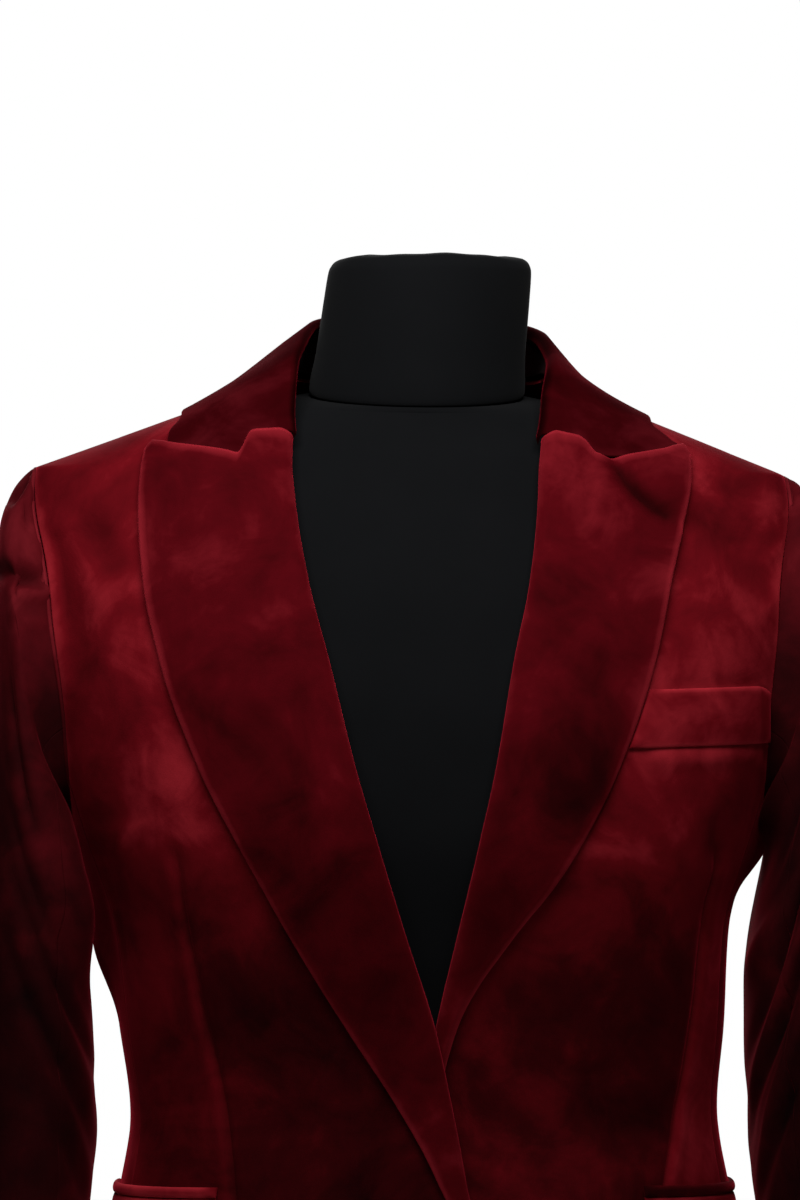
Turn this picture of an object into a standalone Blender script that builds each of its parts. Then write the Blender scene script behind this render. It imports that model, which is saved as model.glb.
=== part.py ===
"""A velvet blazer with peak lapels and one button, standing on a limbless dress form.

Metres, +Z up, front towards -Y, wearer's left towards +X. The origin is the middle of the form's flat base.
Every cloth piece is a closed wall between an outer grid of points and the same grid moved in by the wall.
"""

import math

import bpy
import numpy as np
from mathutils import Matrix

# Cloth walls and the gaps between pieces
WALL = 0.0022
LAPEL_WALL = 0.0024
WELT_WALL = 0.0016
JET_WALL = 0.0030
SEAM_INSET = 0.00015
LYING_GAP = 0.0007

# Heights of the garment
HEM_Z = 0.070
UNDERARM_SEAM_Z = 0.5115
SHOULDER_Z = 0.674
NECK_Z = 0.7235

# Half widths at the two ends of the shoulder seam
SHOULDER_HALF = 0.194
NECK_HALF = 0.0645

# Roundness of the horizontal sections, 2 being an ellipse
BODY_ROUNDNESS = 2.3
SLEEVE_ROUNDNESS = 2.2
NECK_ROUNDNESS = 2.0

# Garment sections: height, half width, depth in front of and behind the shoulder line
BODY_COLUMNS = ("z", "half", "front", "back")
BODY_SECTIONS = (
    (0.070, 0.1780, 0.116, 0.122),
    (0.180, 0.1740, 0.112, 0.120),
    (0.293, 0.1590, 0.105, 0.097),
    (0.340, 0.1520, 0.102, 0.081),
    (0.385, 0.1565, 0.107, 0.084),
    (0.435, 0.1610, 0.118, 0.093),
    (0.490, 0.1780, 0.127, 0.102),
    (0.540, 0.1920, 0.121, 0.106),
    (0.600, 0.2020, 0.104, 0.103),
    (0.640, 0.2020, 0.086, 0.094),
    (0.674, 0.1940, 0.070, 0.083),
    (0.700, 0.1260, 0.058, 0.072),
    (0.7235, 0.0645, 0.049, 0.062),
)

# Dress form sections in the same terms
FORM_SECTIONS = (
    (0.000, 0.1450, 0.088, 0.094),
    (0.070, 0.1560, 0.096, 0.104),
    (0.180, 0.1560, 0.094, 0.102),
    (0.293, 0.1450, 0.089, 0.083),
    (0.340, 0.1390, 0.086, 0.067),
    (0.385, 0.1420, 0.090, 0.070),
    (0.435, 0.1470, 0.101, 0.079),
    (0.490, 0.1590, 0.111, 0.088),
    (0.540, 0.1690, 0.108, 0.093),
    (0.600, 0.1750, 0.093, 0.091),
    (0.640, 0.1750, 0.077, 0.083),
    (0.664, 0.1730, 0.066, 0.076),
)
FORM_SHOULDER_DROP = 0.0030

# Form under the shoulder seams: height, how far it lies inside the garment in front and behind
FORM_SHOULDER_ROWS = (
    (0.6790, 0.0070, 0.0160),
    (0.6900, 0.0070, 0.0150),
    (0.7010, 0.0065, 0.0120),
    (0.7120, 0.0055, 0.0080),
    (0.7180, 0.0045, 0.0060),
)

# Neck of the form where it meets the torso
FORM_NECK_HALF = 0.0565
FORM_NECK_DEPTH = 0.0510
FORM_NECK_MID_Y = 0.0030
NECK_SEAM_Z = 0.7205
NECK_SEAM_DROP = 0.0150
NECK_SEAM_GAP = 0.0003

# Neck of the form: height above the seam, half width, half depth
FORM_NECK_SECTIONS = (
    (0.000, 0.0560, 0.0508),
    (0.020, 0.0545, 0.0500),
    (0.045, 0.0535, 0.0495),
    (0.056, 0.0528, 0.0490),
    (0.0605, 0.0495, 0.0460),
    (0.0625, 0.0420, 0.0390),
)
FORM_SIDES = 40

# How the whole part has settled on its stand: height, shift along X, shift along Z, lean of Z over X
SETTLING = (
    (0.330, 0.0000, 0.0000, 0.000),
    (0.440, -0.0035, 0.0000, 0.000),
    (0.600, -0.0060, 0.0000, -0.006),
    (0.674, -0.0070, -0.0022, -0.011),
    (0.7235, -0.0030, -0.0022, -0.011),
    (0.783, 0.0040, 0.0000, 0.000),
)

# Front edge and roll line, outer edges of the two lapels, as distances from the centre front
LAPEL_COLUMNS = ("z", "roll", "edge_right", "edge_left")
LAPEL_ROWS = (
    (0.070, -0.0120, 0.0500, 0.0500),
    (0.160, -0.0210, 0.0250, 0.0250),
    (0.270, -0.0240, -0.0150, -0.0170),
    (0.313, -0.0148, -0.0030, -0.0070),
    (0.354, -0.0057, 0.0180, 0.0040),
    (0.390, 0.0022, 0.0400, 0.0130),
    (0.432, 0.0125, 0.0640, 0.0405),
    (0.478, 0.0238, 0.0890, 0.0735),
    (0.521, 0.0355, 0.1110, 0.0970),
    (0.575, 0.0478, 0.1300, 0.1172),
    (0.613, 0.0568, 0.1375, 0.1265),
    (0.652, 0.0625, 0.1400, 0.1362),
    (0.676, 0.0643, 0.1385, 0.1390),
    (0.691, 0.0648, 0.1365, 0.1385),
    (0.7235, 0.0645, 0.1290, 0.1290),
)

# Rows of the front's grid: height at the roll line, at the lapel's edge, then angle round the armhole
FRONT_ROWS = (
    (0.5500, 0.5500, 118.0),
    (0.5900, 0.5900, 96.0),
    (0.6300, 0.6290, 74.0),
    (0.6620, 0.6600, 54.0),
    (0.6910, 0.6855, 36.0),
    (0.7055, 0.6900, 21.0),
    (0.7165, 0.6935, 9.0),
    (0.7235, 0.6990, 0.0),
)
SEAM_ROWS = (0.070, 0.125, 0.180, 0.235, 0.270, 0.305, 0.340, 0.375, 0.410, 0.445, 0.480, 0.5115)
LAPEL_FIRST_ROW = 4
LAPEL_LAST_ROW = 16
LAPEL_CELLS = 6
FRONT_CELLS = 6
BACK_NECK_CELLS = 3
BACK_CELLS = 5
SIDE_CELLS = 4

# Gorge and lapel top: share of the way from roll line to lapel edge, rise over the straight line
GORGE_RISES = ((0.0, 0.0), (0.15, 0.0025), (0.27, 0.0000), (0.40, -0.0085), (0.70, -0.0040), (1.0, 0.0))
GORGE_GAP = 0.0010
GORGE_REACH = 0.88
GORGE_FADE = 0.16

# Lapel roll: how far the front stops short of it, its height and length, and the lie at the edge
ROLL_SETBACK = 0.0032
ROLL_HEIGHT = 0.0056
ROLL_LENGTH = 0.0070
LAPEL_LIE = 0.0032
NOSE_SHARE = 0.75
NOSE_STEP = 0.0010
LAPEL_INSET = 0.0003

# The wearer's left front lies under the right one along the centre
UNDERLAP = 0.0090
UNDERLAP_INNER = 0.026
UNDERLAP_OUTER = 0.075
UNDERLAP_LOW_Z = 0.400
UNDERLAP_HIGH_Z = 0.480

# Armhole: an oval in angle and height on the body's surface
ARMHOLE_MID_Z = 0.582
ARMHOLE_HALF_HEIGHT = 0.092
ARMHOLE_HALF_ANGLE = 25.0
UNDERARM_ANGLE = 140.0
SIDE_ANGLE = 90.0
CENTRE_BACK_ANGLE = 180.0

# Back grid: angle of the column that ends at the neck point, for each row from hem to shoulder
CENTRE_BACK_NECK_Z = 0.722
BACK_COLUMN_HEM = 148.0
BACK_COLUMN_UNDERARM = 140.0

# Collar stations from the gorge to the centre back: fold line, neckline and outer edge as angle and height,
# and how much lower the fold sits on the wearer's left
COLLAR_COLUMNS = ("fold_x", "fold_y", "fold_z", "neck_angle", "neck_z", "edge_angle", "edge_z", "left_drop")
COLLAR_STATIONS = (
    (0.0648, -0.0580, 0.6925, 24.0, 0.6920, 53.0, 0.6890, 0.0000),
    (0.0668, -0.0465, 0.7090, 34.0, 0.7060, 60.0, 0.6950, 0.0000),
    (0.0700, -0.0280, 0.7265, 53.0, 0.7170, 72.0, 0.7005, 0.0030),
    (0.0712, -0.0020, 0.7390, 91.0, 0.7235, 97.0, 0.7035, 0.0080),
    (0.0655, 0.0270, 0.7480, 114.0, 0.7230, 118.0, 0.7005, 0.0070),
    (0.0490, 0.0490, 0.7515, 137.0, 0.7225, 140.0, 0.6970, 0.0040),
    (0.0250, 0.0635, 0.7520, 159.0, 0.7220, 161.0, 0.6940, 0.0015),
    (0.0000, 0.0685, 0.7520, 180.0, 0.7220, 180.0, 0.6930, 0.0000),
)
COLLAR_CELLS = 12
COLLAR_FALL_CELLS = 6
COLLAR_STAND_CELLS = 2
COLLAR_LIE = 0.0046
STAND_START = 3
STAND_GAP = 0.0018
STAND_TOP_GAP = 0.0014
FOLD_BULGE = 0.0060
FOLD_BULGE_START = 0.30
FOLD_BULGE_FULL = 0.70
FOLD_SPREAD = 0.40
FOLD_UPRIGHT_SHARE = 0.40
FOLD_FALLOFF = 1.6

# Sleeve rings under the armhole: outer and inner side, half depth, middle along Y
SLEEVE_COLUMNS = ("outer_x", "outer_z", "inner_x", "inner_z", "depth", "mid_y")
SLEEVE_RINGS = (
    (0.2040, 0.6715, 0.1815, 0.4905, 0.0570, 0.000),
    (0.2105, 0.6580, 0.1835, 0.4890, 0.0595, 0.000),
    (0.2135, 0.6380, 0.1840, 0.4850, 0.0610, -0.001),
    (0.2150, 0.6120, 0.1830, 0.4770, 0.0625, -0.001),
    (0.2175, 0.5750, 0.1810, 0.4640, 0.0640, -0.002),
    (0.2210, 0.5300, 0.1765, 0.4450, 0.0650, -0.002),
    (0.2250, 0.4800, 0.1722, 0.4220, 0.0650, -0.003),
    (0.2290, 0.4300, 0.1698, 0.3930, 0.0640, -0.004),
    (0.2320, 0.3850, 0.1688, 0.3600, 0.0620, -0.006),
    (0.2345, 0.3400, 0.1700, 0.3240, 0.0600, -0.009),
    (0.2365, 0.2950, 0.1738, 0.2850, 0.0580, -0.013),
    (0.2385, 0.2500, 0.1800, 0.2440, 0.0560, -0.018),
    (0.2405, 0.2050, 0.1850, 0.2020, 0.0540, -0.023),
    (0.2425, 0.1500, 0.1890, 0.1490, 0.0520, -0.030),
    (0.2430, 0.0950, 0.1900, 0.0950, 0.0500, -0.036),
)
SLEEVE_STEPS = 24
SLEEVE_START = 0.0005
ARMHOLE_BLEND_RINGS = 4
SLEEVE_SEAM_INSET = 0.00035
SLEEVE_SEAM = 118.0
SLEEVE_AXIS_X = 0.205

# Sleeve folds: share of the way down, angle round, half spans of both, depth, slant
FOLD_COLUMNS = ("along", "angle", "half_along", "half_angle", "depth", "slant")
SLEEVE_FOLDS = (
    (0.22, 70.0, 0.050, 55.0, 0.0030, 0.06),
    (0.50, 120.0, 0.045, 60.0, 0.0035, 0.10),
    (0.60, 110.0, 0.050, 65.0, 0.0040, 0.12),
    (0.70, 250.0, 0.055, 60.0, 0.0030, -0.10),
    (0.83, 60.0, 0.060, 70.0, 0.0025, 0.08),
)

# Pockets
WELT_LOW_Z = 0.5280
WELT_HIGH_Z = 0.5575
WELT_OUTER_X = 0.1700
WELT_LAPEL_GAP = 0.0020
WELT_TILT = 0.0020
POCKET_Z = 0.2970
POCKET_FRONT_ANGLE = 40.0
POCKET_BACK_ANGLE = 98.0
JET_HEIGHT = 0.0055
JET_GAP = 0.0006
FLAP_HEIGHT = 0.0500
FLAP_CELLS = 9
FLAP_ROWS = 3

# Button
BUTTON_X = 0.004
BUTTON_Z = 0.245
BUTTON_RADIUS = 0.0100
BUTTON_SIDES = 20

# Button from back to face: share of the radius, height
BUTTON_PROFILE = (
    (0.00, 0.0000),
    (0.80, 0.0000),
    (1.00, 0.0012),
    (1.00, 0.0030),
    (0.86, 0.0040),
    (0.70, 0.0031),
    (0.00, 0.0028),
)

# Finishes: colour and roughness
VELVET = ((0.115, 0.006, 0.014), 0.75)
JERSEY = ((0.012, 0.012, 0.014), 0.70)
HORN = ((0.030, 0.006, 0.008), 0.35)
SHARP_ANGLE = 50.0

LEFT = 1
RIGHT = -1
SIDES = ((LEFT, "left"), (RIGHT, "right"))
TINY = 1e-5

# Steps over which the surfaces' slopes are measured
STEP_ANGLE = 0.2
STEP_Z = 0.0004
SLEEVE_STEP_ANGLE = 1.0


def column(table, columns, name):
    """One named column of a table."""
    return np.array([row[columns.index(name)] for row in table])


def pchip_slopes(xs, ys):
    steps = np.diff(xs)
    rises = np.diff(ys) / steps
    slopes = np.zeros(len(xs))
    slopes[0] = rises[0]
    slopes[-1] = rises[-1]
    for i in range(1, len(xs) - 1):
        if rises[i - 1] * rises[i] > 0:
            near = 2 * steps[i] + steps[i - 1]
            far = steps[i] + 2 * steps[i - 1]
            slopes[i] = (near + far) / (near / rises[i - 1] + far / rises[i])
    return slopes


def smooth_curve(xs, ys):
    """A function through the points that never overshoots between them."""
    xs = np.asarray(xs, float)
    ys = np.asarray(ys, float)
    slopes = pchip_slopes(xs, ys)

    def value(x):
        x = min(max(x, xs[0]), xs[-1])
        i = int(min(max(np.searchsorted(xs, x) - 1, 0), len(xs) - 2))
        step = xs[i + 1] - xs[i]
        t = (x - xs[i]) / step
        start = (1 + 2 * t) * (1 - t) ** 2 * ys[i] + t * (1 - t) ** 2 * step * slopes[i]
        end = t * t * (3 - 2 * t) * ys[i + 1] + t * t * (t - 1) * step * slopes[i + 1]
        return start + end

    return value


def table_curves(table, columns, key):
    """A smooth curve of each column against the key column."""
    xs = column(table, columns, key)
    return {name: smooth_curve(xs, column(table, columns, name)) for name in columns if name != key}


def ease(low, high, x):
    t = min(max((x - low) / (high - low), 0.0), 1.0)
    return t * t * (3 - 2 * t)


def unit(vector):
    return vector / max(np.linalg.norm(vector), TINY * TINY)


def signed_power(value, power):
    return math.copysign(abs(value) ** power, value)


BODY = table_curves(BODY_SECTIONS, BODY_COLUMNS, "z")
LAPEL = table_curves(LAPEL_ROWS, LAPEL_COLUMNS, "z")
GORGE = smooth_curve(*zip(*GORGE_RISES))


def shoulder_half(z):
    """Half width on the straight shoulder seam."""
    return SHOULDER_HALF + (z - SHOULDER_Z) * (NECK_HALF - SHOULDER_HALF) / (NECK_Z - SHOULDER_Z)


def shoulder_height(x):
    return SHOULDER_Z + (SHOULDER_HALF - x) * (NECK_Z - SHOULDER_Z) / (SHOULDER_HALF - NECK_HALF)


def body_half(z):
    return BODY["half"](z) if z <= SHOULDER_Z else shoulder_half(z)


def ring_point(angle, z, half, front, back, roundness):
    """A point on a rounded section: angle 0 is the front, 90 is +X."""
    turn = math.radians(angle)
    power = 2.0 / roundness
    x = half * signed_power(math.sin(turn), power)
    depth = front if math.cos(turn) >= 0 else back
    y = -depth * signed_power(math.cos(turn), power)
    return np.array([x, y, z])


def body_point(angle, z):
    return ring_point(angle, z, body_half(z), BODY["front"](z), BODY["back"](z), BODY_ROUNDNESS)


def body_normal(angle, z):
    z = min(z, NECK_Z - STEP_Z)
    across = body_point(angle + STEP_ANGLE, z) - body_point(angle - STEP_ANGLE, z)
    up = body_point(angle, z + STEP_Z) - body_point(angle, z - STEP_Z)
    return unit(np.cross(across, up))


def front_angle(x, z):
    """Angle of the front's point that lies x from the centre."""
    ratio = min(abs(x) / body_half(z), 1.0)
    return math.copysign(math.degrees(math.asin(ratio ** (BODY_ROUNDNESS / 2.0))), x)


def underlap(side, point):
    """How far the wearer's left front is sunk beneath the right one."""
    if side == RIGHT:
        return 0.0
    across = 1.0 - ease(UNDERLAP_INNER, UNDERLAP_OUTER, point[0])
    return UNDERLAP * across * (1.0 - ease(UNDERLAP_LOW_Z, UNDERLAP_HIGH_Z, point[2]))


def front_place(side, angle, z, lift=0.0):
    """A point of the front on its own side, moved out by lift, and its normal.

    Angles grow towards the side seam.
    """
    normal = body_normal(angle, z)
    point = body_point(angle, z)
    point = point + normal * (lift - underlap(side, point))
    mirror = np.array([side, 1.0, 1.0])
    return point * mirror, normal * mirror


def armhole(angle):
    """Angle and height on the body of a point round the armhole.

    0 is the shoulder, 90 the front and 180 the underarm.
    """
    turn = math.radians(angle)
    body_angle = SIDE_ANGLE - ARMHOLE_HALF_ANGLE * math.sin(turn)
    return body_angle, ARMHOLE_MID_Z + ARMHOLE_HALF_HEIGHT * math.cos(turn)


def underarm_angles():
    """Angles round the armhole of the side panel's points."""
    return [UNDERARM_ANGLE + (360.0 - 2 * UNDERARM_ANGLE) * j / SIDE_CELLS for j in range(SIDE_CELLS + 1)]


def grid_normals(points):
    """Normals of a grid of points from its neighbours."""
    down = np.gradient(points, axis=0)
    across = np.gradient(points, axis=1)
    normals = np.cross(down, across)
    return normals / np.maximum(np.linalg.norm(normals, axis=2, keepdims=True), TINY * TINY)


def inset_border(points, amount):
    """Moves the border of a grid in by the amount, towards the next points."""
    points = points.copy()
    pairs = ((0, 1), (-1, -2))
    for edge, inner in pairs:
        step = points[inner] - points[edge]
        points[edge] += step / np.linalg.norm(step, axis=1, keepdims=True) * amount
    for edge, inner in pairs:
        step = points[:, inner] - points[:, edge]
        points[:, edge] += step / np.linalg.norm(step, axis=1, keepdims=True) * amount
    return points


def wall_faces(rows, cols):
    """Faces of a closed wall between two grids, the outer one first."""
    count = rows * cols
    faces = []
    for i in range(rows - 1):
        for j in range(cols - 1):
            a = i * cols + j
            b = a + 1
            c = a + cols + 1
            d = a + cols
            faces.append((a, b, c, d))
            faces.append((a + count, d + count, c + count, b + count))
    top = list(range(cols))
    right = [i * cols + cols - 1 for i in range(1, rows)]
    bottom = [(rows - 1) * cols + j for j in range(cols - 2, -1, -1)]
    left = [i * cols for i in range(rows - 2, 0, -1)]
    border = top + right + bottom + left
    for a, b in zip(border, border[1:] + border[:1]):
        faces.append((b, a, a + count, b + count))
    return faces


def settle(points):
    """Shifts points as the whole part has settled and leans on its stand."""
    heights, shifts, drops, leans = zip(*SETTLING)
    points = np.array(points, float)
    z = points[:, 2].copy()
    points[:, 2] += np.interp(z, heights, drops) + np.interp(z, heights, leans) * points[:, 0]
    points[:, 0] += np.interp(z, heights, shifts)
    return points


def signed_volume(points, faces):
    total = 0.0
    for face in faces:
        for k in range(1, len(face) - 1):
            total += np.dot(points[face[0]], np.cross(points[face[k]], points[face[k + 1]]))
    return total


def material(name, colour, roughness):
    made = bpy.data.materials.new(name)
    made.use_nodes = True
    shader = made.node_tree.nodes["Principled BSDF"]
    shader.inputs["Base Color"].default_value = (*colour, 1.0)
    shader.inputs["Roughness"].default_value = roughness
    shader.inputs["Metallic"].default_value = 0.0
    return made


def add_object(name, points, faces, finish, parent):
    """Makes a mesh object from settled points, with its faces turned out."""
    points = settle(points)
    if signed_volume(points, faces) < 0:
        faces = [tuple(reversed(face)) for face in faces]
    mesh = bpy.data.meshes.new(name)
    mesh.from_pydata([tuple(point) for point in points], [], faces)
    mesh.validate()
    mesh.shade_smooth()
    mesh.set_sharp_from_angle(angle=math.radians(SHARP_ANGLE))
    mesh.materials.append(material(name + "_finish", *finish))
    made = bpy.data.objects.new(name, mesh)
    made.parent = parent
    bpy.context.scene.collection.objects.link(made)
    return made


def add_wall(name, outer, normals, wall, parent, inset=SEAM_INSET):
    """A cloth wall: the outer grid and the same grid moved in along its normals."""
    outer = inset_border(outer, inset)
    inner = outer - normals * wall
    points = np.concatenate([outer.reshape(-1, 3), inner.reshape(-1, 3)])
    faces = wall_faces(outer.shape[0], outer.shape[1])
    return add_object(name, points, faces, VELVET, parent)


def lapel_edge(side, z):
    return LAPEL["edge_left"](z) if side == LEFT else LAPEL["edge_right"](z)


def front_lines(side):
    """Rows of the front as (roll, lapel edge, side) points in angle and height."""
    lines = []
    for z in SEAM_ROWS:
        roll = LAPEL["roll"](z) + ROLL_SETBACK
        edge = lapel_edge(side, z)
        lines.append(((roll, z), (edge, z), (armhole(UNDERARM_ANGLE)[0], z)))
    for roll_z, edge_z, angle in FRONT_ROWS:
        roll = LAPEL["roll"](roll_z) + ROLL_SETBACK
        edge = lapel_edge(side, edge_z)
        if angle == 0.0:
            edge_z = shoulder_height(edge)
        lines.append(((roll, roll_z), (edge, edge_z), armhole(angle)))
    return lines


def front_grid(side):
    """Angles and heights of the front's grid, from hem to shoulder and from roll line to side."""
    grid = []
    for row, (roll, edge, seam) in enumerate(front_lines(side)):
        places = []
        for j in range(LAPEL_CELLS + 1):
            share = j / LAPEL_CELLS
            x = roll[0] + (edge[0] - roll[0]) * share
            z = roll[1] + (edge[1] - roll[1]) * share
            if row == LAPEL_LAST_ROW:
                z += GORGE(share)
            if row == len(SEAM_ROWS) + len(FRONT_ROWS) - 1:
                z = shoulder_height(x)
            places.append((front_angle(x, z), z))
        start = places[-1]
        for j in range(1, FRONT_CELLS + 1):
            share = j / FRONT_CELLS
            z = start[1] + (seam[1] - start[1]) * share
            angle = start[0] + (seam[0] - start[0]) * share
            places.append((angle, z))
        grid.append(places)
    return grid


def placed(grid, place):
    """Points and normals of a grid of angles and heights."""
    made = [[place(angle, z) for angle, z in row] for row in grid]
    points = np.array([[point for point, _ in row] for row in made])
    normals = np.array([[normal for _, normal in row] for row in made])
    return points, normals


def make_front(side, word, parent):
    points, normals = placed(front_grid(side), lambda angle, z: front_place(side, angle, z))
    add_wall("front_" + word, points, normals, WALL, parent)


def lapel_lift(distance, reach):
    """Height of the lapel's face over the front, this far from the roll line."""
    nose = math.sqrt(max(0.0, 1.0 - (1.0 - min(distance / ROLL_LENGTH, 1.0)) ** 2))
    fall = ease(ROLL_LENGTH, max(reach, 2 * ROLL_LENGTH), distance)
    return nose * (ROLL_HEIGHT + (LAPEL_LIE - ROLL_HEIGHT) * fall)


def make_lapel(side, word, parent):
    """The turned-back lapel: the front's points moved out, with a round nose along the roll line."""
    rows = front_grid(side)[LAPEL_FIRST_ROW : LAPEL_LAST_ROW + 1]
    grid = []
    for row in rows:
        first_angle, first_z = row[0]
        start = front_place(side, first_angle, first_z)[0]
        reach = np.linalg.norm(front_place(side, *row[LAPEL_CELLS])[0] - start) + ROLL_SETBACK
        setback = math.degrees(ROLL_SETBACK / body_half(first_z))
        line = [front_place(side, first_angle - setback, first_z)[0]]
        nose_lift = lapel_lift(NOSE_STEP, reach)
        line.append(front_place(side, first_angle - setback * NOSE_SHARE, first_z, nose_lift)[0])
        for angle, z in row[: LAPEL_CELLS + 1]:
            point = front_place(side, angle, z)[0]
            distance = np.linalg.norm(point - start) + ROLL_SETBACK
            line.append(front_place(side, angle, z, lapel_lift(distance, reach))[0])
        grid.append(line)
    points = np.array(grid)
    normals = grid_normals(points)
    if np.mean(normals[..., 1]) > 0:
        normals = -normals
    add_wall("lapel_" + word, points, normals, LAPEL_WALL, parent, LAPEL_INSET)


def make_side_panel(side, word, parent):
    """The panel under the arm, with the lowest part of the armhole along its top."""
    front_seam = armhole(UNDERARM_ANGLE)[0]
    back_seam = armhole(360.0 - UNDERARM_ANGLE)[0]
    grid = []
    for z in SEAM_ROWS:
        share = (z - HEM_Z) / (UNDERARM_SEAM_Z - HEM_Z)
        places = []
        for j in range(SIDE_CELLS + 1):
            angle, top = armhole(underarm_angles()[j])
            places.append((angle, HEM_Z + (top - HEM_Z) * share))
        places[0] = (front_seam, z)
        places[-1] = (back_seam, z)
        grid.append(places)
    points, normals = placed(grid, lambda angle, z: front_place(side, angle, z))
    add_wall("side_panel_" + word, points, normals, WALL, parent)


def make_back(side, word, parent):
    """Half of the back, from the centre seam to the side seam, armhole and shoulder."""
    lines = []
    rows = len(SEAM_ROWS) + len(FRONT_ROWS)
    for z in SEAM_ROWS:
        share = (z - HEM_Z) / (UNDERARM_SEAM_Z - HEM_Z)
        middle = BACK_COLUMN_HEM + (BACK_COLUMN_UNDERARM - BACK_COLUMN_HEM) * share
        lines.append(((CENTRE_BACK_ANGLE, z), (middle, z), (armhole(360.0 - UNDERARM_ANGLE)[0], z)))
    for i, (_, _, turn) in enumerate(FRONT_ROWS):
        share = (i + 1) / len(FRONT_ROWS)
        centre_z = UNDERARM_SEAM_Z + (CENTRE_BACK_NECK_Z - UNDERARM_SEAM_Z) * share
        middle_z = UNDERARM_SEAM_Z + (NECK_Z - UNDERARM_SEAM_Z) * share
        middle = BACK_COLUMN_UNDERARM + (SIDE_ANGLE - BACK_COLUMN_UNDERARM) * share**3
        lines.append(((CENTRE_BACK_ANGLE, centre_z), (middle, middle_z), armhole(360.0 - turn)))
    grid = []
    for i, (centre, middle, seam) in enumerate(lines):
        places = []
        for j in range(BACK_NECK_CELLS):
            share = j / BACK_NECK_CELLS
            angle = centre[0] + (middle[0] - centre[0]) * share
            places.append((angle, centre[1] + (middle[1] - centre[1]) * share))
        for j in range(BACK_CELLS + 1):
            share = j / BACK_CELLS
            angle = middle[0] + (seam[0] - middle[0]) * share
            z = middle[1] + (seam[1] - middle[1]) * share
            if i == rows - 1:
                angle = SIDE_ANGLE
            places.append((angle, z))
        grid.append(places)
    points, normals = placed(grid, lambda angle, z: front_place(RIGHT, angle, z))
    mirror = np.array([side * RIGHT, 1.0, 1.0])
    add_wall("back_" + word, points * mirror, normals * mirror, WALL, parent)


def collar_curves():
    """Smooth curves of the collar's columns against the share of the way to the centre back."""
    shares = np.linspace(0.0, 1.0, len(COLLAR_STATIONS))
    return {
        name: smooth_curve(shares, column(COLLAR_STATIONS, COLLAR_COLUMNS, name)) for name in COLLAR_COLUMNS
    }


def collar_frame(curves, side, share):
    """Fold, and neckline and outer edge in angle and height, at a share of the way to the centre back."""
    at = {name: curve(share) for name, curve in curves.items()}
    drop = at["left_drop"] if side == LEFT else 0.0
    fold = np.array([at["fold_x"] + drop * FOLD_SPREAD, at["fold_y"], at["fold_z"] - drop])
    return fold, (at["neck_angle"], at["neck_z"]), (at["edge_angle"], at["edge_z"])


def collar_rows():
    """Shares of the way to the centre back and the side they are on, all round from right to left."""
    right = [(RIGHT, i / COLLAR_CELLS) for i in range(COLLAR_CELLS + 1)]
    left = [(LEFT, i / COLLAR_CELLS) for i in range(COLLAR_CELLS - 1, -1, -1)]
    return right + left


def gorge_rise(share, across):
    """Follows the gorge at the collar's front end and fades out behind it."""
    fade = 1.0 - ease(0.0, GORGE_FADE, share)
    return fade * (GORGE(across * GORGE_REACH) + GORGE_GAP)


def make_collar(parent):
    curves = collar_curves()
    fall = []
    stand = []
    for side, share in collar_rows():
        mirror = np.array([side, 1.0, 1.0])
        fold, neck, edge = collar_frame(curves, side, share)
        neck_point = body_point(*neck)
        line = []
        for j in range(COLLAR_FALL_CELLS + 1):
            across = j / COLLAR_FALL_CELLS
            angle = neck[0] + (edge[0] - neck[0]) * across
            z = neck[1] + (edge[1] - neck[1]) * across + gorge_rise(share, across)
            z = min(z, NECK_Z)
            height = (fold - neck_point) * (1.0 - across) ** FOLD_FALLOFF
            normal = body_normal(angle, z)
            upright = (1.0 - across) * ease(0.0, FOLD_UPRIGHT_SHARE, share)
            lifted = unit(np.array([0.0, 0.0, 1.0]) * upright + normal * (1.0 - upright)) * COLLAR_LIE
            swell = FOLD_BULGE * ease(FOLD_BULGE_START, FOLD_BULGE_FULL, share)
            bulge = normal * swell * math.sqrt(4.0 * across * (1.0 - across))
            line.append((body_point(angle, z) + height + lifted + bulge) * mirror)
        fall.append(line)
        start = STAND_START / COLLAR_CELLS
        if share >= start - TINY:
            rise = unit(fold - neck_point)
            low = neck_point + rise * STAND_GAP
            high = fold - rise * STAND_TOP_GAP
            shares = np.linspace(0.0, 1.0, COLLAR_STAND_CELLS + 1)
            stand.append([(low + (high - low) * up) * mirror for up in shares])
    for name, rows, wall in (("collar_fall", fall, LAPEL_WALL), ("collar_stand", stand, WALL)):
        points = np.array(rows)
        normals = grid_normals(points)
        middle = len(rows) // 2
        if normals[middle, 1, 1] < 0:
            normals = -normals
        add_wall(name, points, normals, wall, parent)


def sleeve_curves():
    shares = np.linspace(0.0, 1.0, len(SLEEVE_RINGS))
    return {name: smooth_curve(shares, column(SLEEVE_RINGS, SLEEVE_COLUMNS, name)) for name in SLEEVE_COLUMNS}


def sleeve_fold(along, angle):
    """Depth of the sleeve's folds at a place."""
    depth = 0.0
    for row in SLEEVE_FOLDS:
        fold = dict(zip(FOLD_COLUMNS, row))
        turn = (angle - fold["angle"]) / fold["half_angle"]
        step = (along - fold["along"] - fold["slant"] * turn) / fold["half_along"]
        depth += fold["depth"] * math.exp(-turn * turn) * math.exp(-step * step)
    return depth


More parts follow.
